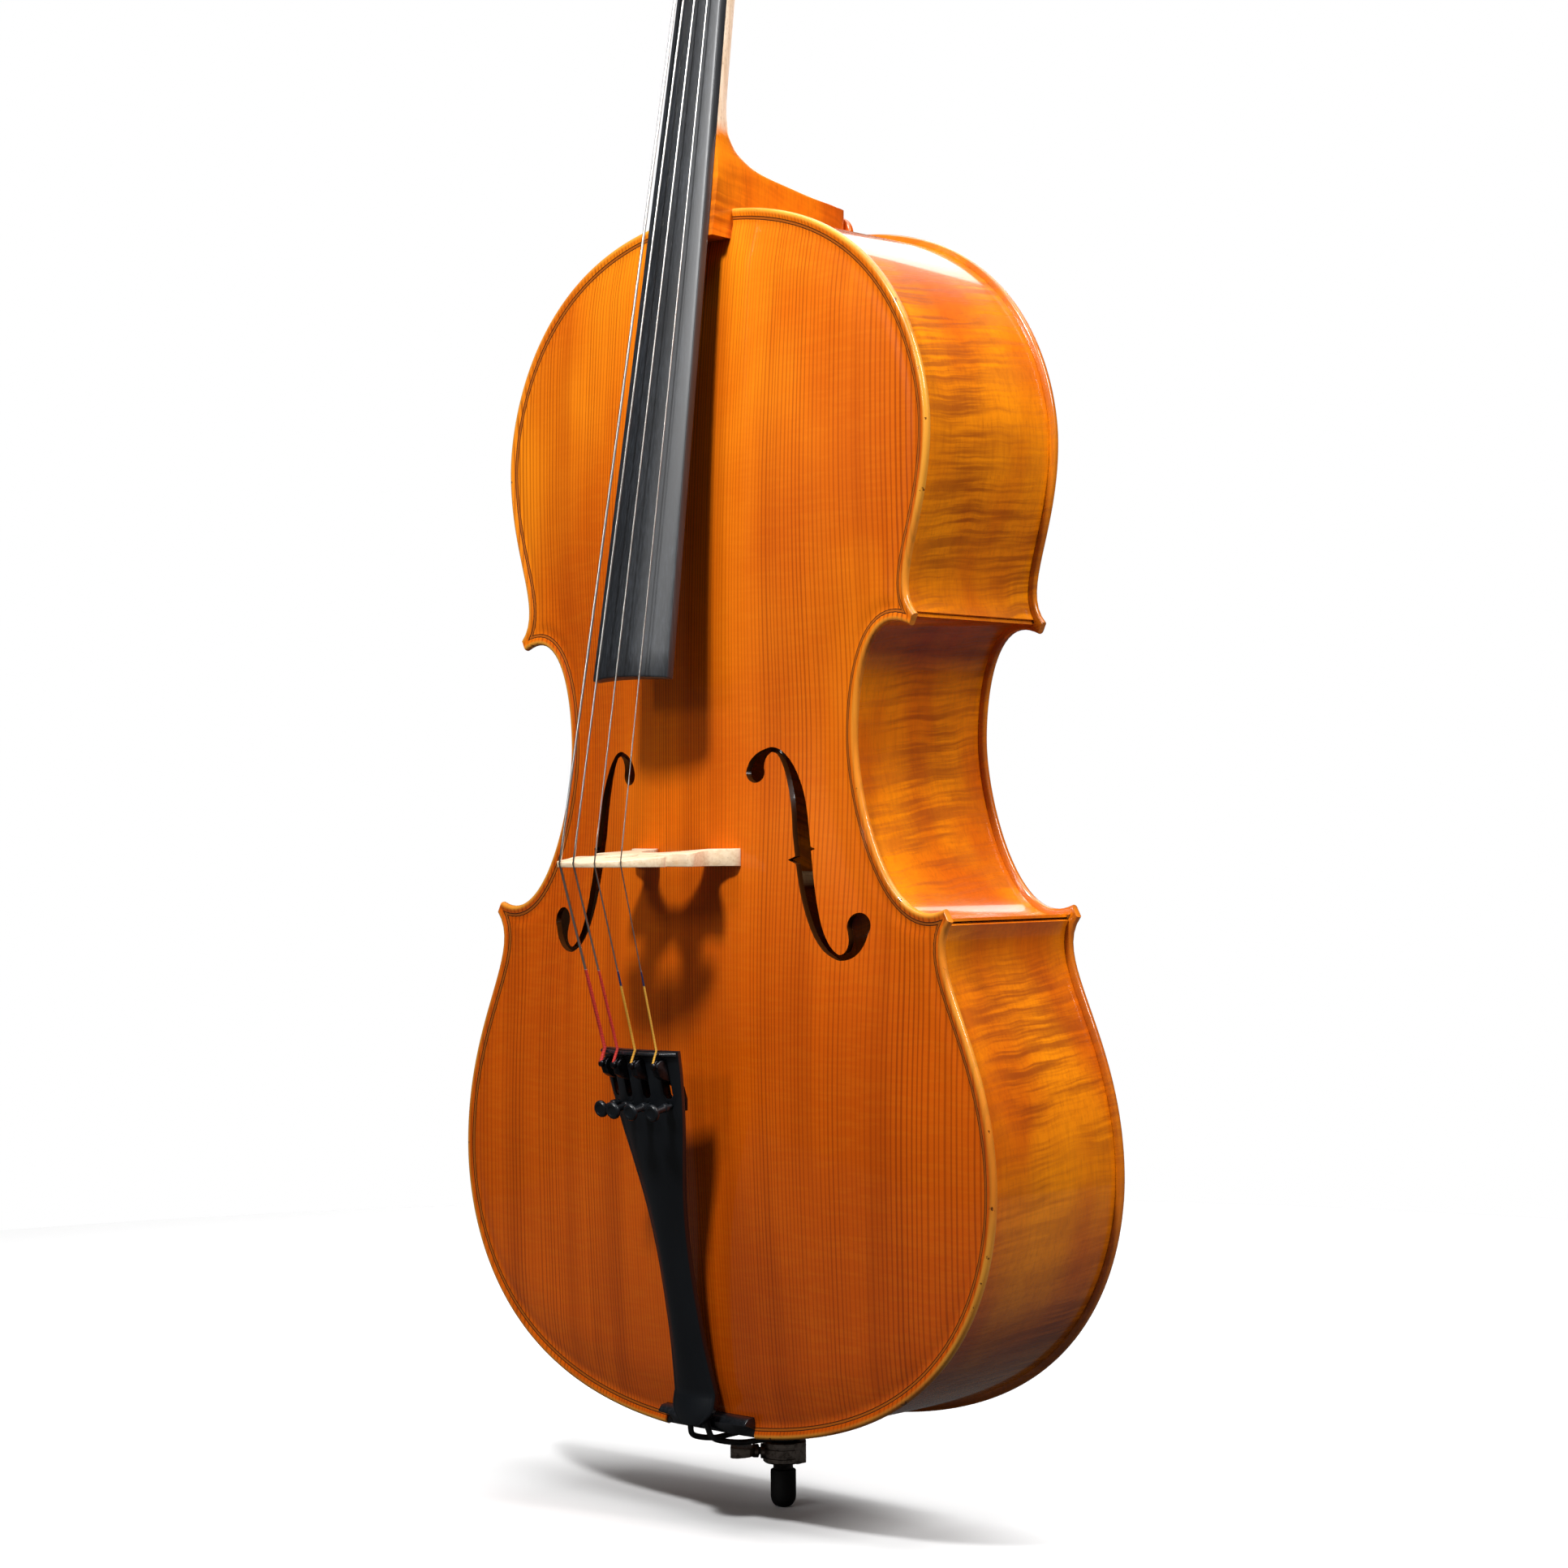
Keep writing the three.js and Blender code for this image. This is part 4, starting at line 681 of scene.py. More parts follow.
def bridge_maple():
    s = Shader("bare_maple", Roughness=0.5, Specular_IOR_Level=0.35)
    fibre = s.noise(s.coords(0.05, 0.5, 0.5), detail=3, rough=0.5)
    rays = s.ramp(s.noise(s.coords(0.2, 0.9, 0.9), detail=2), 0.62, 0.72)
    colour = s.mix(s.ramp(fibre, 0.3, 0.75), (0.90, 0.72, 0.50), (0.76, 0.55, 0.34))
    s.set("Base Color", s.mix(s.times(rays, 0.35), colour, (0.45, 0.26, 0.12)))
    s.bump(fibre, 0.1, 0.0002)
    return s.material


def black_composite():
    s = Shader("black_composite", Roughness=0.4, Specular_IOR_Level=0.4)
    grain = s.noise(s.coords(2.2, 2.2, 2.2), detail=3, rough=0.6)
    cloud = s.noise(s.coords(0.03, 0.03, 0.02), detail=3)
    s.set("Base Color", s.mix(cloud, rgb(12, 14, 17), rgb(22, 26, 31)))
    s.set("Roughness", s.plus(s.times(grain, 0.16), 0.28))
    s.bump(grain, 0.15, 0.00015)
    return s.material


def braided_cord():
    s = Shader("black_cord", Roughness=0.5)
    ins = {"Vector": s.coords(0.5, 0.5, 0.8), "Scale": 0.35, "Distortion": 1.5}
    weave = s.node("TexWave", ins).outputs["Fac"]
    s.set("Base Color", s.mix(weave, rgb(14, 14, 15), rgb(36, 35, 36)))
    s.bump(weave, 0.6, 0.0005)
    return s.material


def metal(name, colour, tarnish, roughness):
    s = Shader(name, Metallic=1.0, Roughness=roughness)
    stain = s.ramp(s.noise(s.coords(0.25, 0.25, 0.25), detail=4, rough=0.65), 0.4, 0.72)
    scratch = s.noise(s.coords(0.4, 3.0, 3.0), detail=3)
    s.set("Base Color", s.mix(stain, colour, tarnish))
    s.set("Roughness", s.plus(s.times(scratch, 0.22), roughness - 0.1))
    s.bump(scratch, 0.08, 0.0001)
    return s.material


SILK_TOP = 340.0  # height in the shared frame that the silk above the tailpiece reaches


def string_metal(name, silk_low, silk_high):
    """Flat-wound steel; silk above the tailpiece in one or two colours, and again in the pegbox."""
    s = Shader(name)
    z = s.axis("Z")
    turns = s.math("SINE", s.times(z, 9.0))
    lower = s.ramp(z, SILK_TOP, SILK_TOP + 1, 1.0, 0.0)
    upper = s.ramp(z, 1093.0, 1096.0)
    silk = s.math("MAXIMUM", lower, upper)
    thread = s.mix(s.ramp(z, SILK_TOP - 9, SILK_TOP - 8), silk_low, silk_high)
    # Painted shade: darker stripes in the grooves between the silk's turns.
    thread = s.mix(s.times(s.ramp(turns, 0.0, 1.0), 0.35), thread, rgb(16, 12, 12))
    wear = s.noise(s.coords(0.1, 0.1, 0.02), detail=3)
    steel = s.mix(wear, rgb(232, 228, 222), rgb(190, 184, 176))
    s.set("Base Color", s.mix(silk, steel, thread))
    s.set("Metallic", s.math("SUBTRACT", 1.0, silk))
    s.set("Roughness", s.ramp(silk, 0.0, 1.0, 0.28, 0.7))
    s.bump(s.times(turns, silk), 0.3, 0.0002)
    return s.material


def rubber():
    s = Shader("black_rubber", Roughness=0.7)
    grain = s.noise(s.coords(1.2, 1.2, 1.2), detail=4, rough=0.7)
    s.set("Base Color", s.mix(grain, rgb(12, 12, 12), rgb(26, 25, 25)))
    s.bump(grain, 0.25, 0.0002)
    return s.material


def knurled():
    """Steel whose lower collar is cut in a fine diamond pattern."""
    s = Shader("rod_steel", Metallic=1.0, Roughness=0.3)
    where = s.node("SeparateXYZ", {"Vector": s.coords()}).outputs
    turn = s.times(s.math("ARCTAN2", where["Y"], where["X"]), 30.0)
    climb = s.times(where["Z"], 4.8)
    diamonds = s.math(
        "MULTIPLY",
        s.math("SINE", s.plus(turn, climb)),
        s.math("SINE", s.math("SUBTRACT", turn, climb)),
    )
    collar = s.ramp(where["Z"], 27.6, 27.9, 1.0, 0.0)
    cut = s.times(diamonds, collar)
    shade = s.ramp(cut, -0.6, 0.6)
    worn = s.mix(shade, rgb(96, 88, 82), rgb(150, 142, 134))
    s.set("Base Color", s.mix(collar, rgb(150, 148, 145), worn))
    s.bump(cut, 0.8, 0.0004)
    return s.material


# ---------------------------------------------------------------- belly and back
F_STEM = [
    (54.3, 403.8, 12.4), (55.2, 408.2, 10.6), (57.8, 412.6, 7.4), (61.5, 415.8, 4.4), (65.5, 417.3, 3),
    (70.5, 415.2, 3.6), (76, 407.5, 6.2), (80.5, 396, 8.6), (83.6, 383, 10), (86.5, 362, 11),
    (91.5, 334, 10), (98, 313, 7.8), (105, 301, 5.6), (113, 294.8, 3.4), (118.5, 294.6, 4.2),
    (123.5, 298, 7.6), (126.6, 304, 11.5), (127.5, 312.7, 16),
]
F_EYES = [(54.3, 403.8, 6.2), (127.5, 312.7, 8)]
F_NOTCHES = [(77.5, 351.5, 1), (95.5, 358, -1)]


def sound_hole(side):
    """One f-hole as prisms that cut through the belly; side is 1 for treble and -1 for bass."""
    centre = catmull(F_STEM, 6)
    along = np.gradient(centre[:, :2], axis=0)
    along /= np.linalg.norm(along, axis=1)[:, None]
    across = np.stack([along[:, 1], -along[:, 0]], axis=1) * centre[:, 2:] / 2
    shapes = [np.concatenate([centre[:, :2] + across, (centre[:, :2] - across)[::-1]])]
    turns = np.linspace(0, 2 * math.pi, 40, endpoint=False)
    shapes += [np.column_stack([x + r * np.cos(turns), z + r * np.sin(turns)]) for x, z, r in F_EYES]
    shapes += [np.array([(x, z), (x + way * 6, z + 2.6), (x + way * 6, z - 2.6)]) for x, z, way in F_NOTCHES]
    return [prism(shape * (side, 1), -110, -40, "y") for shape in shapes]


def make_plates():
    belly = plate("belly", -1, TOP_ARCH)
    for part in sound_hole(1) + sound_hole(-1):
        carve(belly, part)
    seat = prism(mirrored([(SADDLE_HALF + 0.3, -20), (SADDLE_HALF + 0.3, 14.9)]), -120, -56, "y")
    carve(belly, seat)
    mark_edge(belly)
    dress(belly, spruce(), ["top_plate"])

    back = plate("back", 1, BACK_ARCH)
    turns = np.linspace(0, math.pi, 25)
    arc = np.column_stack([14.5 * np.cos(turns), 750 + 14 * np.sin(turns) ** 0.8])
    arc[[0, -1], 1] = 742
    button = new_object("button", *prism(arc, RIB_PLANE, RIB_PLANE + PLATE_EDGE, "y"))
    bevelled(button, 1.2, 3)
    mark_edge(back)
    back_look = back_maple()
    dress(back, back_look, ["back_plate"])
    dress(button, rib_maple())


RIB_HALF_HEIGHT = 56.8
CORNER_GRAIN_GAP = 37.0  # how far the grain jumps from one rib to the next
BASS_GRAIN_SHIFT = 211.0  # so that the two sides differ


def make_ribs():
    """Ribs that carry the distance run along them, which places their flame."""
    look = rib_maple()
    start = 0.0
    for i, bout in enumerate(("upper", "centre", "lower")):
        lines = {d: inset_runs(d, 5.0)[i] for d in (RIB_INSET, RIB_INSET + RIB_THICKNESS)}
        steps = (90, 70, 110)[i]
        outer, inner = (resample(lines[d], steps) for d in sorted(lines))
        run = start + distances(outer)
        start = run[-1] + CORNER_GRAIN_GAP
        for side, sign in (("treble", 1), ("bass", -1)):
            high, low = RIB_HALF_HEIGHT, -RIB_HALF_HEIGHT
            levels = [(outer, low), (outer, high), (inner, high), (inner, low)]
            rings = np.stack([row(sign * line[:, 0], y, line[:, 1]) for line, y in levels], axis=1)
            values = np.repeat(run if sign > 0 else run + BASS_GRAIN_SHIFT, len(levels))
            rib = new_object(f"rib_{bout}_{side}_fine", *skin(rings), attributes={"run": values})
            dress(rib, look, [f"rib_{bout}_{side}"])


# ---------------------------------------------------------------- neck, head and fingerboard
def board_half(z):
    share = 1 - (NUT[1] - z) / (BOARD_LENGTH * math.cos(NECK_ANGLE))
    return lerp(*BOARD_HALF, np.clip(share, 0, 1))


def neck_front(z):
    return NUT[0] - (NUT[1] - z) * math.tan(NECK_ANGLE) + (BOARD_SIDE + 0.1) / math.cos(NECK_ANGLE)


# height, back of the section, squareness
NECK_SECTIONS = [
    (766, 56.9, 9), (766.9, 50, 8.6), (767.8, 37, 8), (769, 23, 7.6), (770.6, 9, 7), (772.4, -6, 6),
    (774.4, -18, 5), (777.2, -28.5, 4.2), (780.8, -36, 3.6), (784.6, -41.6, 3.1), (789, -45.5, 2.8),
    (795, -48.8, 2.5), (801, -50.5, 2.3), (815, -51, 2.1), (850, -46.2, 2.1), (887, -40.8, 2.1),
    (960, -30, 2.1), (1010, -22, 2.15), (1026, -19.5, 2.2),
]
HEEL_Z = 764  # where the heel starts to narrow into the neck
HEEL_TOP = 800
HEEL_HALF = (26.5, 13.8)  # half widths in front and behind


def neck_section(z, back, squareness, steps=40):
    front = neck_front(z)
    blend = float(smooth(z, HEEL_Z, HEEL_TOP))
    front_half = back_half = board_half(max(z, HEEL_TOP)) - 0.4
    if z <= HEEL_TOP:
        front_half = lerp(HEEL_HALF[0], front_half, blend)
        back_half = lerp(HEEL_HALF[1], front_half, blend)
    turns = np.linspace(0, math.pi, steps + 1)
    c, s = np.cos(turns), np.abs(np.sin(turns))
    y = front + (back - front) * s ** (2 / squareness)
    share = np.minimum(1, (y - front) / (RIB_PLANE - neck_front(HEEL_Z)))
    x = lerp(front_half, back_half, share) * np.sign(c) * np.abs(c) ** (2 / squareness)
    return row(x, y, z)


def make_neck(look):
    rows = [neck_section(*section) for section in catmull(NECK_SECTIONS, 3)]
    root = [neck_section(z, 56.9, 9) for z in (730, 766)]
    neck = new_object("neck", *join_parts(skin(rows), skin(root)), sharp=50)
    dress(neck, look, ["neck_and_scroll"])


# distance up the head, front, back, half width
PEGBOX = [
    (-4, 6, 25, 15.6), (0, 4.4, 29, 18.5), (8, 0.3, 32.6, 21.3), (22, 0, 35, 21.2), (40, 0, 36, 20.5),
    (62, 0, 35.4, 19.3), (80, 0, 34, 18), (98, 0, 31.4, 16.4), (114, 0, 29, 15), (124, 0, 28.5, 13.6),
    (138, 4, 32, 12.8), (156, 6, 34.5, 12.6),
]


def pegbox_section(z, front, back, half):
    """Flat in front, rounded behind with a groove each side of a middle ridge."""
    t = np.linspace(0, math.pi, 33)
    x = half * np.cos(t)
    corner = 9.0
    turned = np.clip(np.abs(x) - (half - corner), 0, corner) / corner
    lift = corner * (1 - np.sqrt(np.clip(1 - turned**2, 0, 1)))
    groove = 1.3 * np.sin(np.clip(np.abs(x) / (half - 3), 0, 1) * math.pi) ** 2
    rear = row(x, back - lift - groove, z)
    front_edge = [(-half + 0.8, front, z), (0, front, z), (half - 0.8, front, z)]
    return np.vstack([rear, front_edge])


def peg_depth(place):
    return lerp(15.8, 12.4, place / 104)


def peg_frame(side, place):
    return HEAD_FRAME @ shift(0, peg_depth(place), place) @ about_y(side * math.pi / 2)


def volute_radius(angle):
    return 34.5 * np.exp(-0.00215 * np.maximum(0, angle - 60))


def volute_half(angle):
    """Half width of the scroll, which grows as the spiral winds in to the eye."""
    return np.interp(angle, [-60, 120, 360, 600, 800, 960], [12.6, 13.2, 19, 25.5, 30, 31])


def make_scroll(look):
    """The volute as an unrolled band: outer face, walls between turns and the flat sides of each turn."""
    centre_y, centre_z, first, last, slope = 1.0, 158.0, -60.0, 900.0, 0.8
    angles = np.arange(first, last + 1, 6.0)
    turn = np.radians(angles)
    ring, sides = [], {1: [], -1: []}
    across = np.linspace(-1, 1, 21)

    def at(radius, x, t):
        return (x, centre_y + radius * math.cos(t), centre_z + radius * math.sin(t))

    for angle, t in zip(angles, turn):
        radius, half = float(volute_radius(angle)), float(volute_half(angle))
        if angle <= first + 360:
            groove = 1.5 * np.sin(np.pi * np.clip(np.abs(across) * 1.12, 0, 1)) ** 2
            ring.append([at(radius - g, half * a, t) for a, g in zip(across, groove)])
        before = float(volute_half(angle - 360)) if angle > first + 360 else half
        inner = float(volute_radius(angle + 360))
        for sign in (1, -1):
            profile = [
                at(radius, sign * (before - slope), t),
                at(radius, sign * (half - 0.6), t),
                at(radius - 0.6, sign * half, t),
                at(lerp(radius, inner, 0.5), sign * (half - 0.5), t),
                at(inner, sign * (half - slope), t),
            ]
            sides[sign].append(profile)
    parts = [skin(ring, closed=False, caps=False)]
    parts += [skin(rows, closed=False, caps=False) for rows in sides.values()]
    eye_radius = float(volute_radius(last))
    dome = [(1, 30.2), (0.9, 31.4), (0.55, 32), (0, 32.2)]
    dome = [(eye_radius * share, z) for share, z in dome]
    for sign in (1, -1):
        axle = [(eye_radius, -31.5)] if sign > 0 else []
        points, faces = lathe(axle + dome, 32)
        m = np.array(shift(0, centre_y, centre_z) @ about_y(sign * math.pi / 2))
        parts.append((points @ m[:3, :3].T + m[:3, 3], faces))
    scroll = new_object("scroll", *join_parts(*parts), HEAD_FRAME, sharp=45)
    dress(scroll, look)


def make_head(look):
    head = new_object("pegbox", *skin([pegbox_section(*row) for row in PEGBOX]), HEAD_FRAME, sharp=50)
    cavity = [
        [(-h, -20, z), (h, -20, z), (h, b, z), (-h, b, z)]
        for z, h, b in ((13, 13.4, 20), (20, 13.2, 26), (80, 10, 27), (110, 8.4, 23.5), (118, 8.2, 15))
    ]
    carve(head, skin(cavity), HEAD_FRAME)
    for _, _, _, _, side, place in STRINGS.values():
        carve(head, lathe([(0, -30), (6.15, -30), (7.55, 30), (0, 30)], 40), peg_frame(side, place))
    bevelled(head, 0.7, 2, 45)
    dress(head, look)


def make_fingerboard(look):
    rows = []
    for share in np.concatenate([[0, 0.002], np.linspace(0.03, 0.97, 18), [1]]):
        half = lerp(*BOARD_HALF, share)
        shrink = 0.5 if share == 0 else 0.0
        hollow = 5.0 * float(1 - smooth(share, 0.36, 0.46))
        x = np.linspace(-half + shrink, half - shrink, 25)
        crown = np.sqrt(BOARD_RADIUS**2 - x**2) - math.sqrt(BOARD_RADIUS**2 - half**2)
        flat = 0.8 * smooth(-x / half, 0.25, 0.9) * (1 - smooth(-x / half, 0.9, 1.0))
        z = -BOARD_LENGTH * (1 - share)
        top = row(x, -crown + flat + shrink, z)
        under_x = np.linspace(half - 0.4, -half + 0.4, 17)
        rows.append(np.vstack([top, row(under_x, BOARD_SIDE - hollow * (1 - (under_x / half) ** 2), z)]))
    board = new_object("fingerboard_fine", *skin(rows), NECK_FRAME, sharp=35)
    bevelled(board, 0.5, 2, 40)
    dress(board, look, ["fingerboard"])

    half = 15.4
    x = np.linspace(-half, half, 61)
    rows = []
    sections = ((0.2, -2.1, 0.2), (0.9, -2.7, 0.5), (3, -3.1, 0.7), (5.6, -2.6, 0.7), (7.9, -1.0, 0.3))
    for z, top, depth in sections:
        groove = sum(np.exp(-(((x - s[1]) / 1.0) ** 2)) for s in STRINGS.values()) * depth
        crown = top + 1.3 * (x / half) ** 2 + groove
        rows.append(np.vstack([row(x, crown, z), [(half, 5.9, z), (-half, 5.9, z)]]))
    nut = new_object("nut_fine", *skin(rows), NECK_FRAME, sharp=40)
    dress(nut, look, ["nut"])


# ---------------------------------------------------------------- bridge, tailpiece and saddle
def string_height(x):
    return STRING_ARC[1] + (x - STRING_ARC[0]) ** 2 / (2 * STRING_ARC[2])


def belly_y(x, z):
    point = np.array([[x, z]], float)
    return -RIB_PLANE - float(arch_height(point, outline_distance(point), TOP_ARCH)[0])


# half width and height above the feet
BRIDGE_SIDE = [
    (45, 1.6), (43, 4.6), (37.5, 7.4), (33.2, 10.6), (31.9, 14.5), (33.6, 20), (37, 26), (40, 31.5),
    (41, 35.4), (38.8, 38.2), (34, 38.6), (29, 38.2), (25.4, 40.6), (23.6, 45), (24.6, 49.8), (28.4, 52.6),
    (33.6, 53), (37.4, 54.4), (38.4, 57.6), (36.8, 61.6), (34.4, 66),
]
BRIDGE_ARCH = [(21.6, 3.4), (19.8, 7), (19.2, 12), (16.6, 20.4), (10, 27.6), (3.2, 30.8)]
BRIDGE_TOP_HALF = 31.0


def make_bridge(look):
    foot = BRIDGE_FOOT_Y

    def on_belly(x):
        return (x, belly_y(x, BRIDGE_FOOT_Z) - 0.1)

    def half(side):
        top = string_height(side * BRIDGE_TOP_HALF) + 1.4
        heel = (45.2, on_belly(45.2 * side)[1])
        rows = [heel] + [(x, foot - up) for x, up in BRIDGE_SIDE] + [(32.6, lerp(foot - 66, top, 0.6))]
        return np.vstack([catmull(rows, 5) * (side, 1), [(side * BRIDGE_TOP_HALF, top)]])

    x = np.linspace(28, -28, 113)
    notch = sum(np.exp(-(((x - s[0]) / 0.9) ** 4)) for s in STRINGS.values()) * 0.5
    crown = np.column_stack([x, string_height(x) + 0.1 + notch])
    arch = [(x, foot - up) for x, up in BRIDGE_ARCH]
    left = [on_belly(-22.5)] + [(-x, y) for x, y in arch]
    feet = left + [(0, foot - 29.4)] + arch[::-1] + [on_belly(22.5)]
    outline = np.vstack([half(1), crown, half(-1)[::-1], catmull(feet, 5)])

    def shaped(points, low, high):
        return skin([row(points[:, 0], points[:, 1], level) for level in (low, high)])

    blank = new_object("bridge_fine", *shaped(outline, 0.0, 1.0))
    heart = chain(
        bezier((0, 41), (9.5, 48), (14.5, 57), (8, 60.5), 10),
        bezier((8, 60.5), (4, 62.5), (1, 60), (0, 56.5), 8),
    )
    heart = np.vstack([heart[:-1], (heart[::-1] * (-1, 1))[:-1]]) * (1, -1) + (0, foot)
    carve(blank, shaped(heart, -1.0, 2.0))
    for vertex in blank.data.vertices:
        y = vertex.co.y / MM - BODY_ORIGIN[1]
        z = vertex.co.z / MM - BODY_ORIGIN[2]
        share = min(max((y - foot) / (STRING_ARC[1] - foot), 0), 1)
        thickness = lerp(10.6, 2.8, share)
        belly = 0.7 * math.sin(math.pi * share)
        vertex.co.z = (BRIDGE_Z + z * (thickness + belly) + BODY_ORIGIN[2]) * MM
    bevelled(blank, 0.45, 2, 40)
    dress(blank, look, ["bridge"])


TAIL_SLOPE = 0.2125
TAIL_AT_SCREWS = (28.6, 7.5)  # half width and crown
SCREW_Z = 205.5
LEVER_Z = 226
LEVER_RISE = 7.0  # of a lever's pivot above the crown


def tail_edge(z):
    return -74.2 - abs(z - 26) * TAIL_SLOPE - (0.6 if z < 26 else 0)


# height, half width, crown
TAIL_SECTIONS = [
    (238.5, 32.3, 8.5), (222, 31, 8), (205, 28.6, 7.5), (190, 25.8, 7), (170, 21.3, 6.5), (150, 17.1, 6),
    (130, 14.3, 5.5), (108, 12.9, 5.5), (84, 12.9, 5.5), (60, 13.8, 5.5), (40, 15.8, 5), (25, 17.6, 4.5),
    (17, 16.6, 4), (12, 12.5, 3.2), (8.5, 8, 2.4),
]


SLOT_HALF = [(1.6, 209.8), (2.9, 212), (2.9, 231), (1.6, 233)]  # the opening under a lever


def make_tailpiece(look, polish):
    rows = []
    for z, half, crown in catmull(TAIL_SECTIONS, 5):
        edge = tail_edge(z)
        share = np.linspace(-1, 1, 33)
        ridge = 0.5 * smooth(np.abs(share), 0.84, 0.9) * (1 - smooth(np.abs(share), 0.92, 1))
        top = row(half * share, edge - crown * (1 - share**2) - ridge, z)
        under = np.linspace(1, -1, 17)
        back = row(half * under * 0.94, edge + 4.2 - crown * 0.55 * (1 - under**2), z)
        rows.append(np.vstack([top, back]))
    tail = new_object("tailpiece_fine", *skin(rows), sharp=40)
    for _, _, x, *_ in STRINGS.values():
        carve(tail, prism(mirrored(SLOT_HALF) + (x, 0), -160, -80, "y"))
        carve(tail, lathe([(0, -30), (1.75, -30), (1.75, 12), (0, 12)], 24), screw_frame(x))
    bevelled(tail, 0.55, 2, 38)
    dress(tail, look, ["tailpiece"])

    share = np.linspace(-1, 1, 41)
    fret_z = 236.4
    path = row(31.6 * share, tail_edge(fret_z) - 8.5 * (1 - share**2) - 1.0, fret_z)
    fret = new_object("tailpiece_fret", *tube(path, 1.5), sharp=60)
    dress(fret, polish)


def tail_crown(x):
    half, crown = TAIL_AT_SCREWS
    return tail_edge(SCREW_Z) - crown * (1 - (x / half) ** 2)


def screw_frame(x):
    return shift(x, tail_crown(x), SCREW_Z) @ about_x(math.pi / 2 + math.atan(TAIL_SLOPE))


LEVER = [
    (-6.6, 2.6), (-5.8, 5.4), (-3.4, 7.0), (-0.6, 7.3), (2.6, 6.0), (5, 2), (10.4, -3), (16.6, -9.6),
    (19.2, -17), (19.2, -24), (16.8, -24), (16.8, -17.4), (13.2, -11.8), (5.8, -6.2), (-1, -4.4),
    (-4.4, -2.4),
]
TUNER_SCREW = [
    (0, -9), (1.45, -9), (1.45, 3), (2.6, 3.3), (2.8, 5.6), (2.2, 6.2), (1.9, 13), (2.4, 13.4), (4.4, 14),
    (5.1, 14.6), (5.25, 15.4), (5.1, 16.2), (4.5, 16.9), (3.2, 17.1), (2.4, 16.6), (0, 16.6),
]


def make_tuners(look, screw_look):
    for name, (_, _, x, *_) in STRINGS.items():
        screw = new_object(f"tuner_screw_{name}_fine", *lathe(TUNER_SCREW, 40), screw_frame(x), sharp=35)
        dress(screw, screw_look, [f"tuner_screw_{name}"], f"tuner_screw_{name}")
        spot = shift(x, tail_crown(x) - LEVER_RISE, LEVER_Z)
        lever = new_object(f"tuner_lever_{name}_fine", *prism(LEVER, -2.5, 2.5, "x"), spot)
        carve(lever, prism([(-0.55, -12), (0.55, -12), (0.55, 12), (-0.55, 12)], 3.0, 12, "z"), spot)
        bevelled(lever, 0.5, 2, 35)
        dress(lever, look, [f"tuner_lever_{name}"], f"tuner_lever_{name}")


def make_saddle(look):
    rows = []
    for share in np.linspace(-1, 1, 41):
        x = SADDLE_HALF * share
        scoop = float(smooth(abs(share), 0.45, 1.0))
        front = lerp(-69.3, -62.4, scoop)
        low = lerp(2.6, 6.5, scoop)
        profile = [
            (-57.2, 2.6), (-57.2, 14.7), (-63.5, 14.7), (-66.5, 14.3), (-69.0, 11.6), (-69.3, 10.2),
            (lerp(-68.6, front, scoop), lerp(6.6, 8.2, scoop)),
            (lerp(-66.8, front + 1.4, scoop), lerp(4.4, low, scoop)), (-61.4, 2.6),
        ]
        rows.append([(x, y, z) for y, z in profile])
    saddle = new_object("saddle_fine", *skin(rows), sharp=28)
    bevelled(saddle, 0.35, 2, 40)
    dress(saddle, look, ["saddle"])


def make_tail_cord(look):
    radius = 1.8
    half = [
        (6.5, -72.0, 30.5), (6.5, -70.2, 28), (6.6, -70.2, 22), (6.8, -71.9, 12.5), (7.6, -70.7, 5.5),
        (9, -66.5, -1), (11, -48, -5.6), (13.5, -30, -6.4), (15.2, -12, -6.6), (15.4, ENDPIN_OFFSET, -6.8),
    ]
    reach = 11.2 + 0.3 + radius + 0.4
    turns = np.pi * (np.arange(5) + 1) / 6
    around = [(reach * math.cos(t), ENDPIN_OFFSET + reach * math.sin(t), -6.8) for t in turns]
    path = catmull(half + around + [(-x, y, z) for x, y, z in half[::-1]], 6)
    cord = new_object("tail_cord_fine", *tube(path, radius, 14), sharp=60)
    dress(cord, look, ["tail_cord"])


# ---------------------------------------------------------------- strings and pegs
WINDING = (7.2, 9.2, 3.0)  # inner and outer radius and half width of the turns on a peg


def string_path(values):
    """A string's corners: lever, tailpiece, bridge, nut, behind the nut and peg."""
    bridge_x, nut_x, tail_x, radius, _, place = values
    crown = 0.9 if abs(nut_x) > 8 else 0
    nut = NECK_FRAME @ Vector((nut_x, -4.1 + crown, 3))
    behind = NECK_FRAME @ Vector((nut_x * 0.97, -2.4, 8.6))
    reach = WINDING[1] + 0.3 + radius
    on_peg = HEAD_FRAME @ Vector((nut_x * 0.5, peg_depth(place) - reach, place - 3))
    tail_top = (tail_x, tail_edge(239.5) - 8.5 * (1 - (tail_x / 32.3) ** 2) - radius - 2.4, 239.0)
    hook = (tail_x, tail_crown(tail_x) - LEVER_RISE - 7.6 - radius, 230.0)
    bridge = (bridge_x, string_height(bridge_x) - radius * 0.2, BRIDGE_Z + 2.2)
    return [np.array(corner) for corner in (hook, tail_top, bridge, nut, behind, on_peg)]


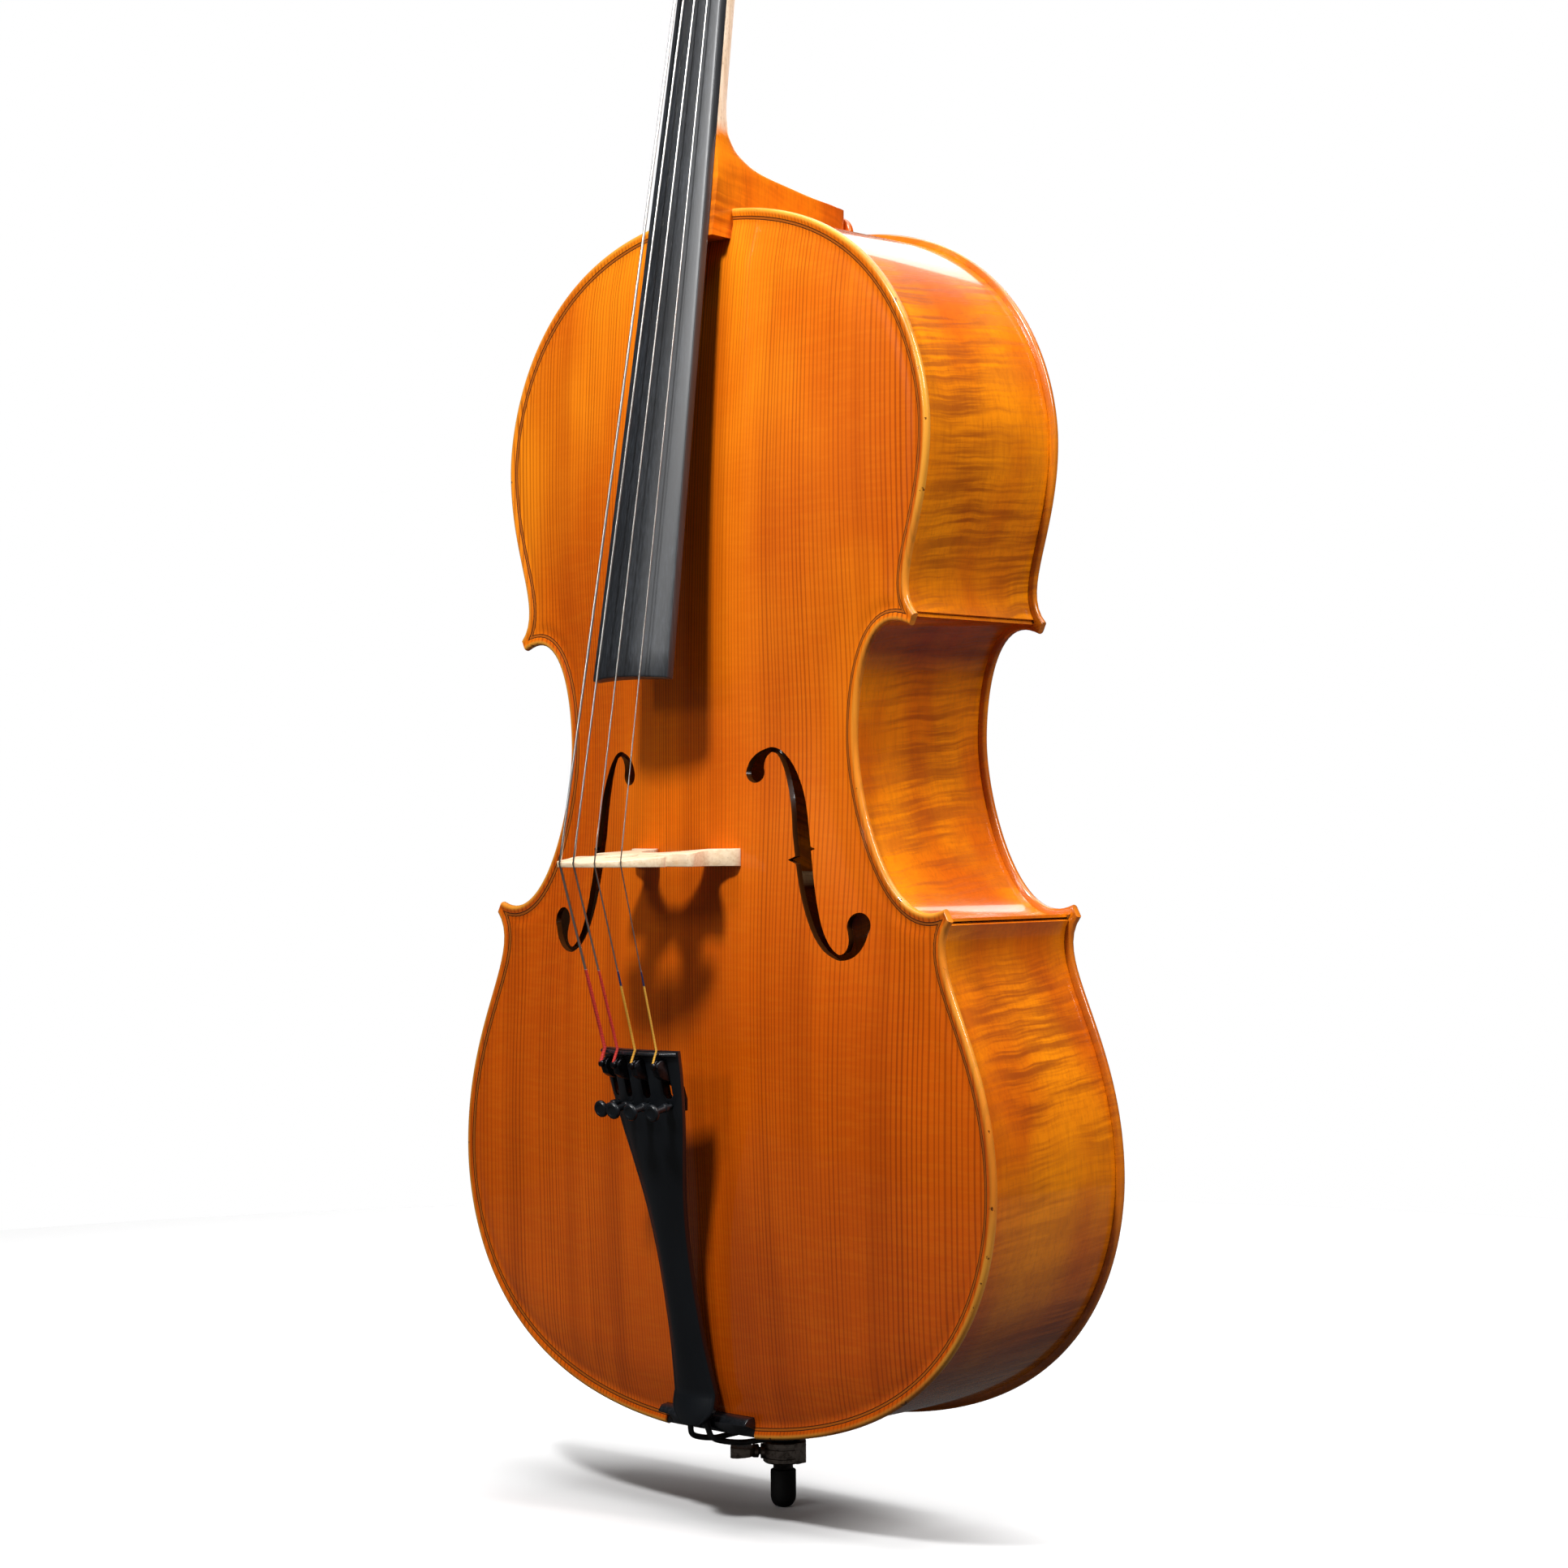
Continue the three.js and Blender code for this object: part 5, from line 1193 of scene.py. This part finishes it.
def make_strings(ball_look):
    red = rgb(196, 40, 26)
    looks = {
        "c": string_metal("string_low", red, red),
        "g": string_metal("string_mid", red, red),
        "d": string_metal("string_high", rgb(222, 160, 44), rgb(30, 34, 84)),
        "a": string_metal("string_top", rgb(228, 170, 54), rgb(26, 30, 74)),
    }
    for name, values in STRINGS.items():
        corners = string_path(values)
        path = []
        for a, b in zip(corners[:-1], corners[1:]):
            steps = max(2, int(np.linalg.norm(b - a) / 12))
            path += [lerp(a, b, t) for t in np.linspace(0, 1, steps, endpoint=False)]
        path.append(corners[-1])
        height = np.array(path)[:, 2] + BODY_ORIGIN[2]
        radius = values[3] + 0.25 * (1 - smooth(height, SILK_TOP, SILK_TOP + 3))
        string = new_object(f"string_{name}_fine", *tube(path, radius, 12), sharp=70)
        dress(string, looks[name], [f"string_{name}"])
        ball = [(0, -1.9), (1.3, -1.6), (2.1, -0.9), (2.1, 0.9), (1.3, 1.6), (0, 1.9)]
        spot = Matrix.Translation(corners[0] + np.array([0, 0.9, -0.4])) @ about_y(math.pi / 2)
        end = new_object(f"ball_end_{name}", *lathe(ball, 24), spot)
        dress(end, ball_look)


PEG_SHAFT = [
    (0, -26), (4.6, -26), (5.6, -25.4), (6, -24.4), (7.25, 24), (8.6, 24.2), (9.6, 25.2), (9.8, 26.6),
    (9.2, 28), (7.4, 28.8), (6.4, 30), (6, 32), (6.3, 34.4), (0, 35),
]
PEG_KNOB = [(0, 66.2), (1.4, 66.4), (2.3, 67.4), (2.3, 68.4), (1.4, 69.4), (0, 69.7)]


def make_pegs(look, winding_looks):
    for name, (_, nut_x, _, radius, side, place) in STRINGS.items():
        spot = peg_frame(side, place)
        head = []
        for v in np.linspace(0, math.pi, 17):
            for u in np.linspace(0, 2 * math.pi, 28, endpoint=False):
                along = 50.2 - 17.2 * math.cos(v)
                swell = math.sin(v) ** 0.82
                waist = 1 - 0.34 * (1 - float(smooth(along, 33, 46)))
                broad = 14.2 * swell * waist
                thick = 4.7 * math.sin(v) ** 0.6
                dish = 1 - 0.3 * math.exp(-((math.cos(u) / 0.55) ** 2))
                head.append((broad * math.cos(u), thick * math.sin(u) * dish, along))
        head = np.array(head).reshape(17, 28, 3)
        parts = join_parts(lathe(PEG_SHAFT, 40), skin(head), lathe(PEG_KNOB, 20))
        peg = new_object(f"peg_{name}_fine", *parts, spot, sharp=38)
        dress(peg, look, [f"peg_{name}"], f"peg_{name}")

        middle = side * nut_x * 0.5
        count = 5
        turns = np.linspace(0, count * 2 * math.pi, count * 28)
        step = np.linspace(-WINDING[2] + radius, WINDING[2] - radius, len(turns))
        reach = 8.1
        coil = np.column_stack([reach * np.cos(turns), reach * np.sin(turns), middle + step])
        core = lathe([(7.1, middle - 2.7), (7.9, middle - 2.7), (7.9, middle + 2.7), (7.1, middle + 2.7)], 32)
        shape = join_parts(tube(coil, min(radius, 0.62), 8), core)
        wound = new_object(f"string_winding_{name}_fine", *shape, spot)
        dress(wound, winding_looks[name], [f"string_winding_{name}"], f"peg_{name}")


# ---------------------------------------------------------------- endpin
def make_endpin(nickel, composite, steel, tip_look):
    spot = shift(0, ENDPIN_OFFSET, 0)
    bore = 5.15
    socket = [
        (bore, -12.7), (10.4, -12.7), (11.2, -11.8), (11.2, -4.4), (12.4, -4), (14.6, -3.6), (15.2, -3),
        (15.2, -1), (14.6, -0.5), (12.2, -0.3), (11, 44), (bore, 44),
    ]
    piece = new_object("endpin_socket_fine", *lathe(socket + socket[:1], 56), spot, sharp=35)
    dress(piece, composite, ["endpin_socket"])

    top, low, radius = -13.0, -26.6, 12.6
    ring = [(bore, top), (radius - 0.9, top), (radius, top - 0.9)]
    for z in (top - 4.2, low + 3.8):
        ring += [(radius, z + 0.75), (radius - 0.8, z + 0.4), (radius - 0.8, z - 0.4), (radius, z - 0.75)]
    ring += [(radius, low + 0.9), (radius - 0.9, low), (bore, low)]
    turn = about_z(math.radians(43.5))  # of the lug and thumbscrew round the rod
    collar = new_object("endpin_collar_fine", *lathe(ring + ring[:1], 64), spot, sharp=30)
    dress(collar, nickel, ["endpin_clamp_ring"])
    lug = [(5.6, 7), (5.6, -9), (9.5, -10.4), (14.4, -5), (14.4, 3.5), (11, 6)]
    lug = new_object("endpin_lug", *prism(lug, low + 0.05, top - 0.05, "z"), spot @ turn, sharp=25)
    bevelled(lug, 0.7, 3, 20)
    dress(lug, nickel)
    middle = (top + low) / 2
    across = spot @ turn @ shift(0, 0, middle) @ about_y(-math.pi / 2)
    sleeve = lathe([(2.7, 9), (4.8, 9), (4.8, 13.6), (4.2, 14.2), (2.7, 14.2)], 40)
    boss = new_object("endpin_boss", *sleeve, across, sharp=30)
    dress(boss, nickel)

    shank = [(0, 6.2), (2.2, 6.2), (2.3, 15), (3.6, 15.1), (4.2, 15.7), (4.2, 18.6), (3.6, 19.6), (0, 20.4)]
    wing = mirrored([(3.2, 17), (5.4, 18.6), (8, 20.8), (8.6, 24), (8.6, 29), (7.6, 31.6), (6, 33)])
    blade = prism(wing, -3.4, 3.4, "y")
    for point in blade[0]:
        point[1] *= lerp(0.72, 1.0, float(smooth(point[2], 18, 27)))
    shape = join_parts(lathe(shank, 32), blade)
    screw = new_object("thumbscrew_fine", *shape, across @ about_z(math.pi / 2), sharp=30)
    bevelled(screw, 0.9, 3, 30)
    dress(screw, nickel, ["endpin_thumbscrew"], "thumbscrew")

    rod = [(0, -30.7), (6.2, -30.7), (6.2, -27.3), (5.6, -27.15), (5, -27.1), (5, 429), (4, 430), (0, 430)]
    piece = new_object("endpin_rod_fine", *lathe(rod, 40), spot, sharp=30)
    dress(piece, steel, ["endpin_rod"], "endpin")
    tip = [
        (0, -54), (4.4, -54), (5.6, -53.3), (6.6, -52.2), (7.4, -50.6), (7.9, -48.6), (8, -46.4), (8, -32.2),
        (7.7, -31.3), (7, -31), (0, -31),
    ]
    piece = new_object("endpin_tip_fine", *lathe(tip, 48), spot, sharp=40)
    dress(piece, tip_look, ["endpin_tip"], "endpin")


# ---------------------------------------------------------------- stage
FLOOR_RADIUS = 1.6  # metres
FILL = 0.03  # strength of the surroundings' light
BOUNCE = 0.035  # of the floor, so that it doesn't haze the varnish


def make_stage():
    floor = Shader("floor", Roughness=0.9)
    paper = floor.noise(floor.coords(0.002, 0.002, 0.002), detail=2)
    pale = floor.mix(paper, (0.98, 0.98, 0.98), (0.96, 0.96, 0.96))
    seen = floor.node("LightPath").outputs["Is Camera Ray"]
    floor.set("Base Color", floor.mix(seen, (BOUNCE, BOUNCE, BOUNCE), pale))
    mesh = bpy.data.meshes.new("floor")
    turns = np.arange(96) * 2 * math.pi / 96
    rim = [(FLOOR_RADIUS * math.cos(t), FLOOR_RADIUS * math.sin(t), -0.0005) for t in turns]
    mesh.from_pydata(rim, [], [tuple(range(96))])
    obj = bpy.data.objects.new("floor", mesh)
    bpy.context.scene.collection.objects.link(obj)
    mesh.materials.append(floor.material)

    world = bpy.data.worlds.new("studio")
    bpy.context.scene.world = world
    world.use_nodes = True
    tree = world.node_tree
    seen = tree.nodes.new("ShaderNodeLightPath").outputs["Is Camera Ray"]
    strength = tree.nodes.new("ShaderNodeMapRange")
    strength.inputs["To Min"].default_value = FILL
    strength.inputs["To Max"].default_value = 1.0
    tree.links.new(seen, strength.inputs["Value"])
    background = tree.nodes["Background"]
    background.inputs["Color"].default_value = (1, 1, 1, 1)
    tree.links.new(strength.outputs[0], background.inputs["Strength"])
    bpy.context.scene.view_settings.view_transform = "Standard"


def area_light(name, place, target, width, height, watts):
    """A panel of light, in metres, that faces its target."""
    light = bpy.data.lights.new(name, "AREA")
    light.shape = "RECTANGLE"
    light.size = width
    light.size_y = height
    light.energy = watts
    obj = bpy.data.objects.new(name, light)
    obj.location = place
    obj.rotation_mode = "QUATERNION"
    obj.rotation_quaternion = (Vector(target) - Vector(place)).to_track_quat("-Z", "Y")
    bpy.context.scene.collection.objects.link(obj)


CAMERA_PLACE = (1.32533, -1.3977, 0.42304)
CAMERA_YAW = math.radians(43.38515)
CAMERA_PITCH = math.radians(0.86832)
CAMERA_ROLL = math.radians(-0.35101)
CAMERA_LENS = 70.2856


def make_camera():
    yaw, pitch, roll = CAMERA_YAW, CAMERA_PITCH, CAMERA_ROLL
    look = Vector((-math.sin(yaw) * math.cos(pitch), math.cos(yaw) * math.cos(pitch), math.sin(pitch)))
    right = look.cross(Vector((0, 0, 1))).normalized()
    up = right.cross(look)
    turned_right = right * math.cos(roll) + up * math.sin(roll)
    turned_up = up * math.cos(roll) - right * math.sin(roll)
    data = bpy.data.cameras.new("camera")
    data.lens = CAMERA_LENS
    data.sensor_width = 36
    camera = bpy.data.objects.new("camera", data)
    bpy.context.scene.collection.objects.link(camera)
    matrix = Matrix((turned_right, turned_up, -look)).transposed().to_4x4()
    matrix.translation = Vector(CAMERA_PLACE)
    camera.matrix_world = matrix
    bpy.context.scene.camera = camera


# ---------------------------------------------------------------- build
make_camera()
make_plates()
make_ribs()
neck_look = neck_maple()
make_neck(neck_look)
make_head(neck_look)
make_scroll(neck_look)
black_wood = ebony()
make_fingerboard(black_wood)
make_bridge(bridge_maple())
composite = black_composite()
polished = ebony("polished_ebony", 0.24)
make_tailpiece(composite, polished)
lever_metal = metal("tuner_metal", rgb(58, 58, 62), rgb(30, 30, 32), 0.35)
make_tuners(lever_metal, composite)
make_saddle(polished)
make_tail_cord(braided_cord())
make_strings(lever_metal)
wound_looks = {name: bpy.data.objects[f"string_{name}_fine"].data.materials[0] for name in STRINGS}
make_pegs(black_wood, wound_looks)
make_endpin(metal("dark_nickel", rgb(150, 138, 128), rgb(92, 82, 74), 0.3), composite, knurled(), rubber())

inner = inner_wood()
for name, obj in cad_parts.items():
    if name.startswith(("lining", "corner_block", "neck_block", "end_block", "bass_bar", "sound_post")):
        for material_slot in obj.material_slots:
            material_slot.material = inner

make_stage()
area_light("key", (0.22, -0.97, 1.44), (0, -0.05, 0.78), 0.18, 0.18, 18.5)
area_light("front", (-0.2, -2.2, 1.25), (0, -0.05, 0.65), 0.3, 0.3, 7)
area_light("side", (1.9, 0.25, 1.95), (0.15, 0, 0.55), 0.5, 0.9, 40)
area_light("behind", (-0.6, 1.5, 1.6), (0.1, 0, 0.6), 0.8, 0.7, 5)
area_light("overhead", (0.2, 0.5, 3.4), (0.2, 0.5, 0), 3.6, 3.6, 140)
area_light("inside", (0.1, -0.03, 0.46), (0.02, 0.0, 0.39), 0.02, 0.02, 0.012)
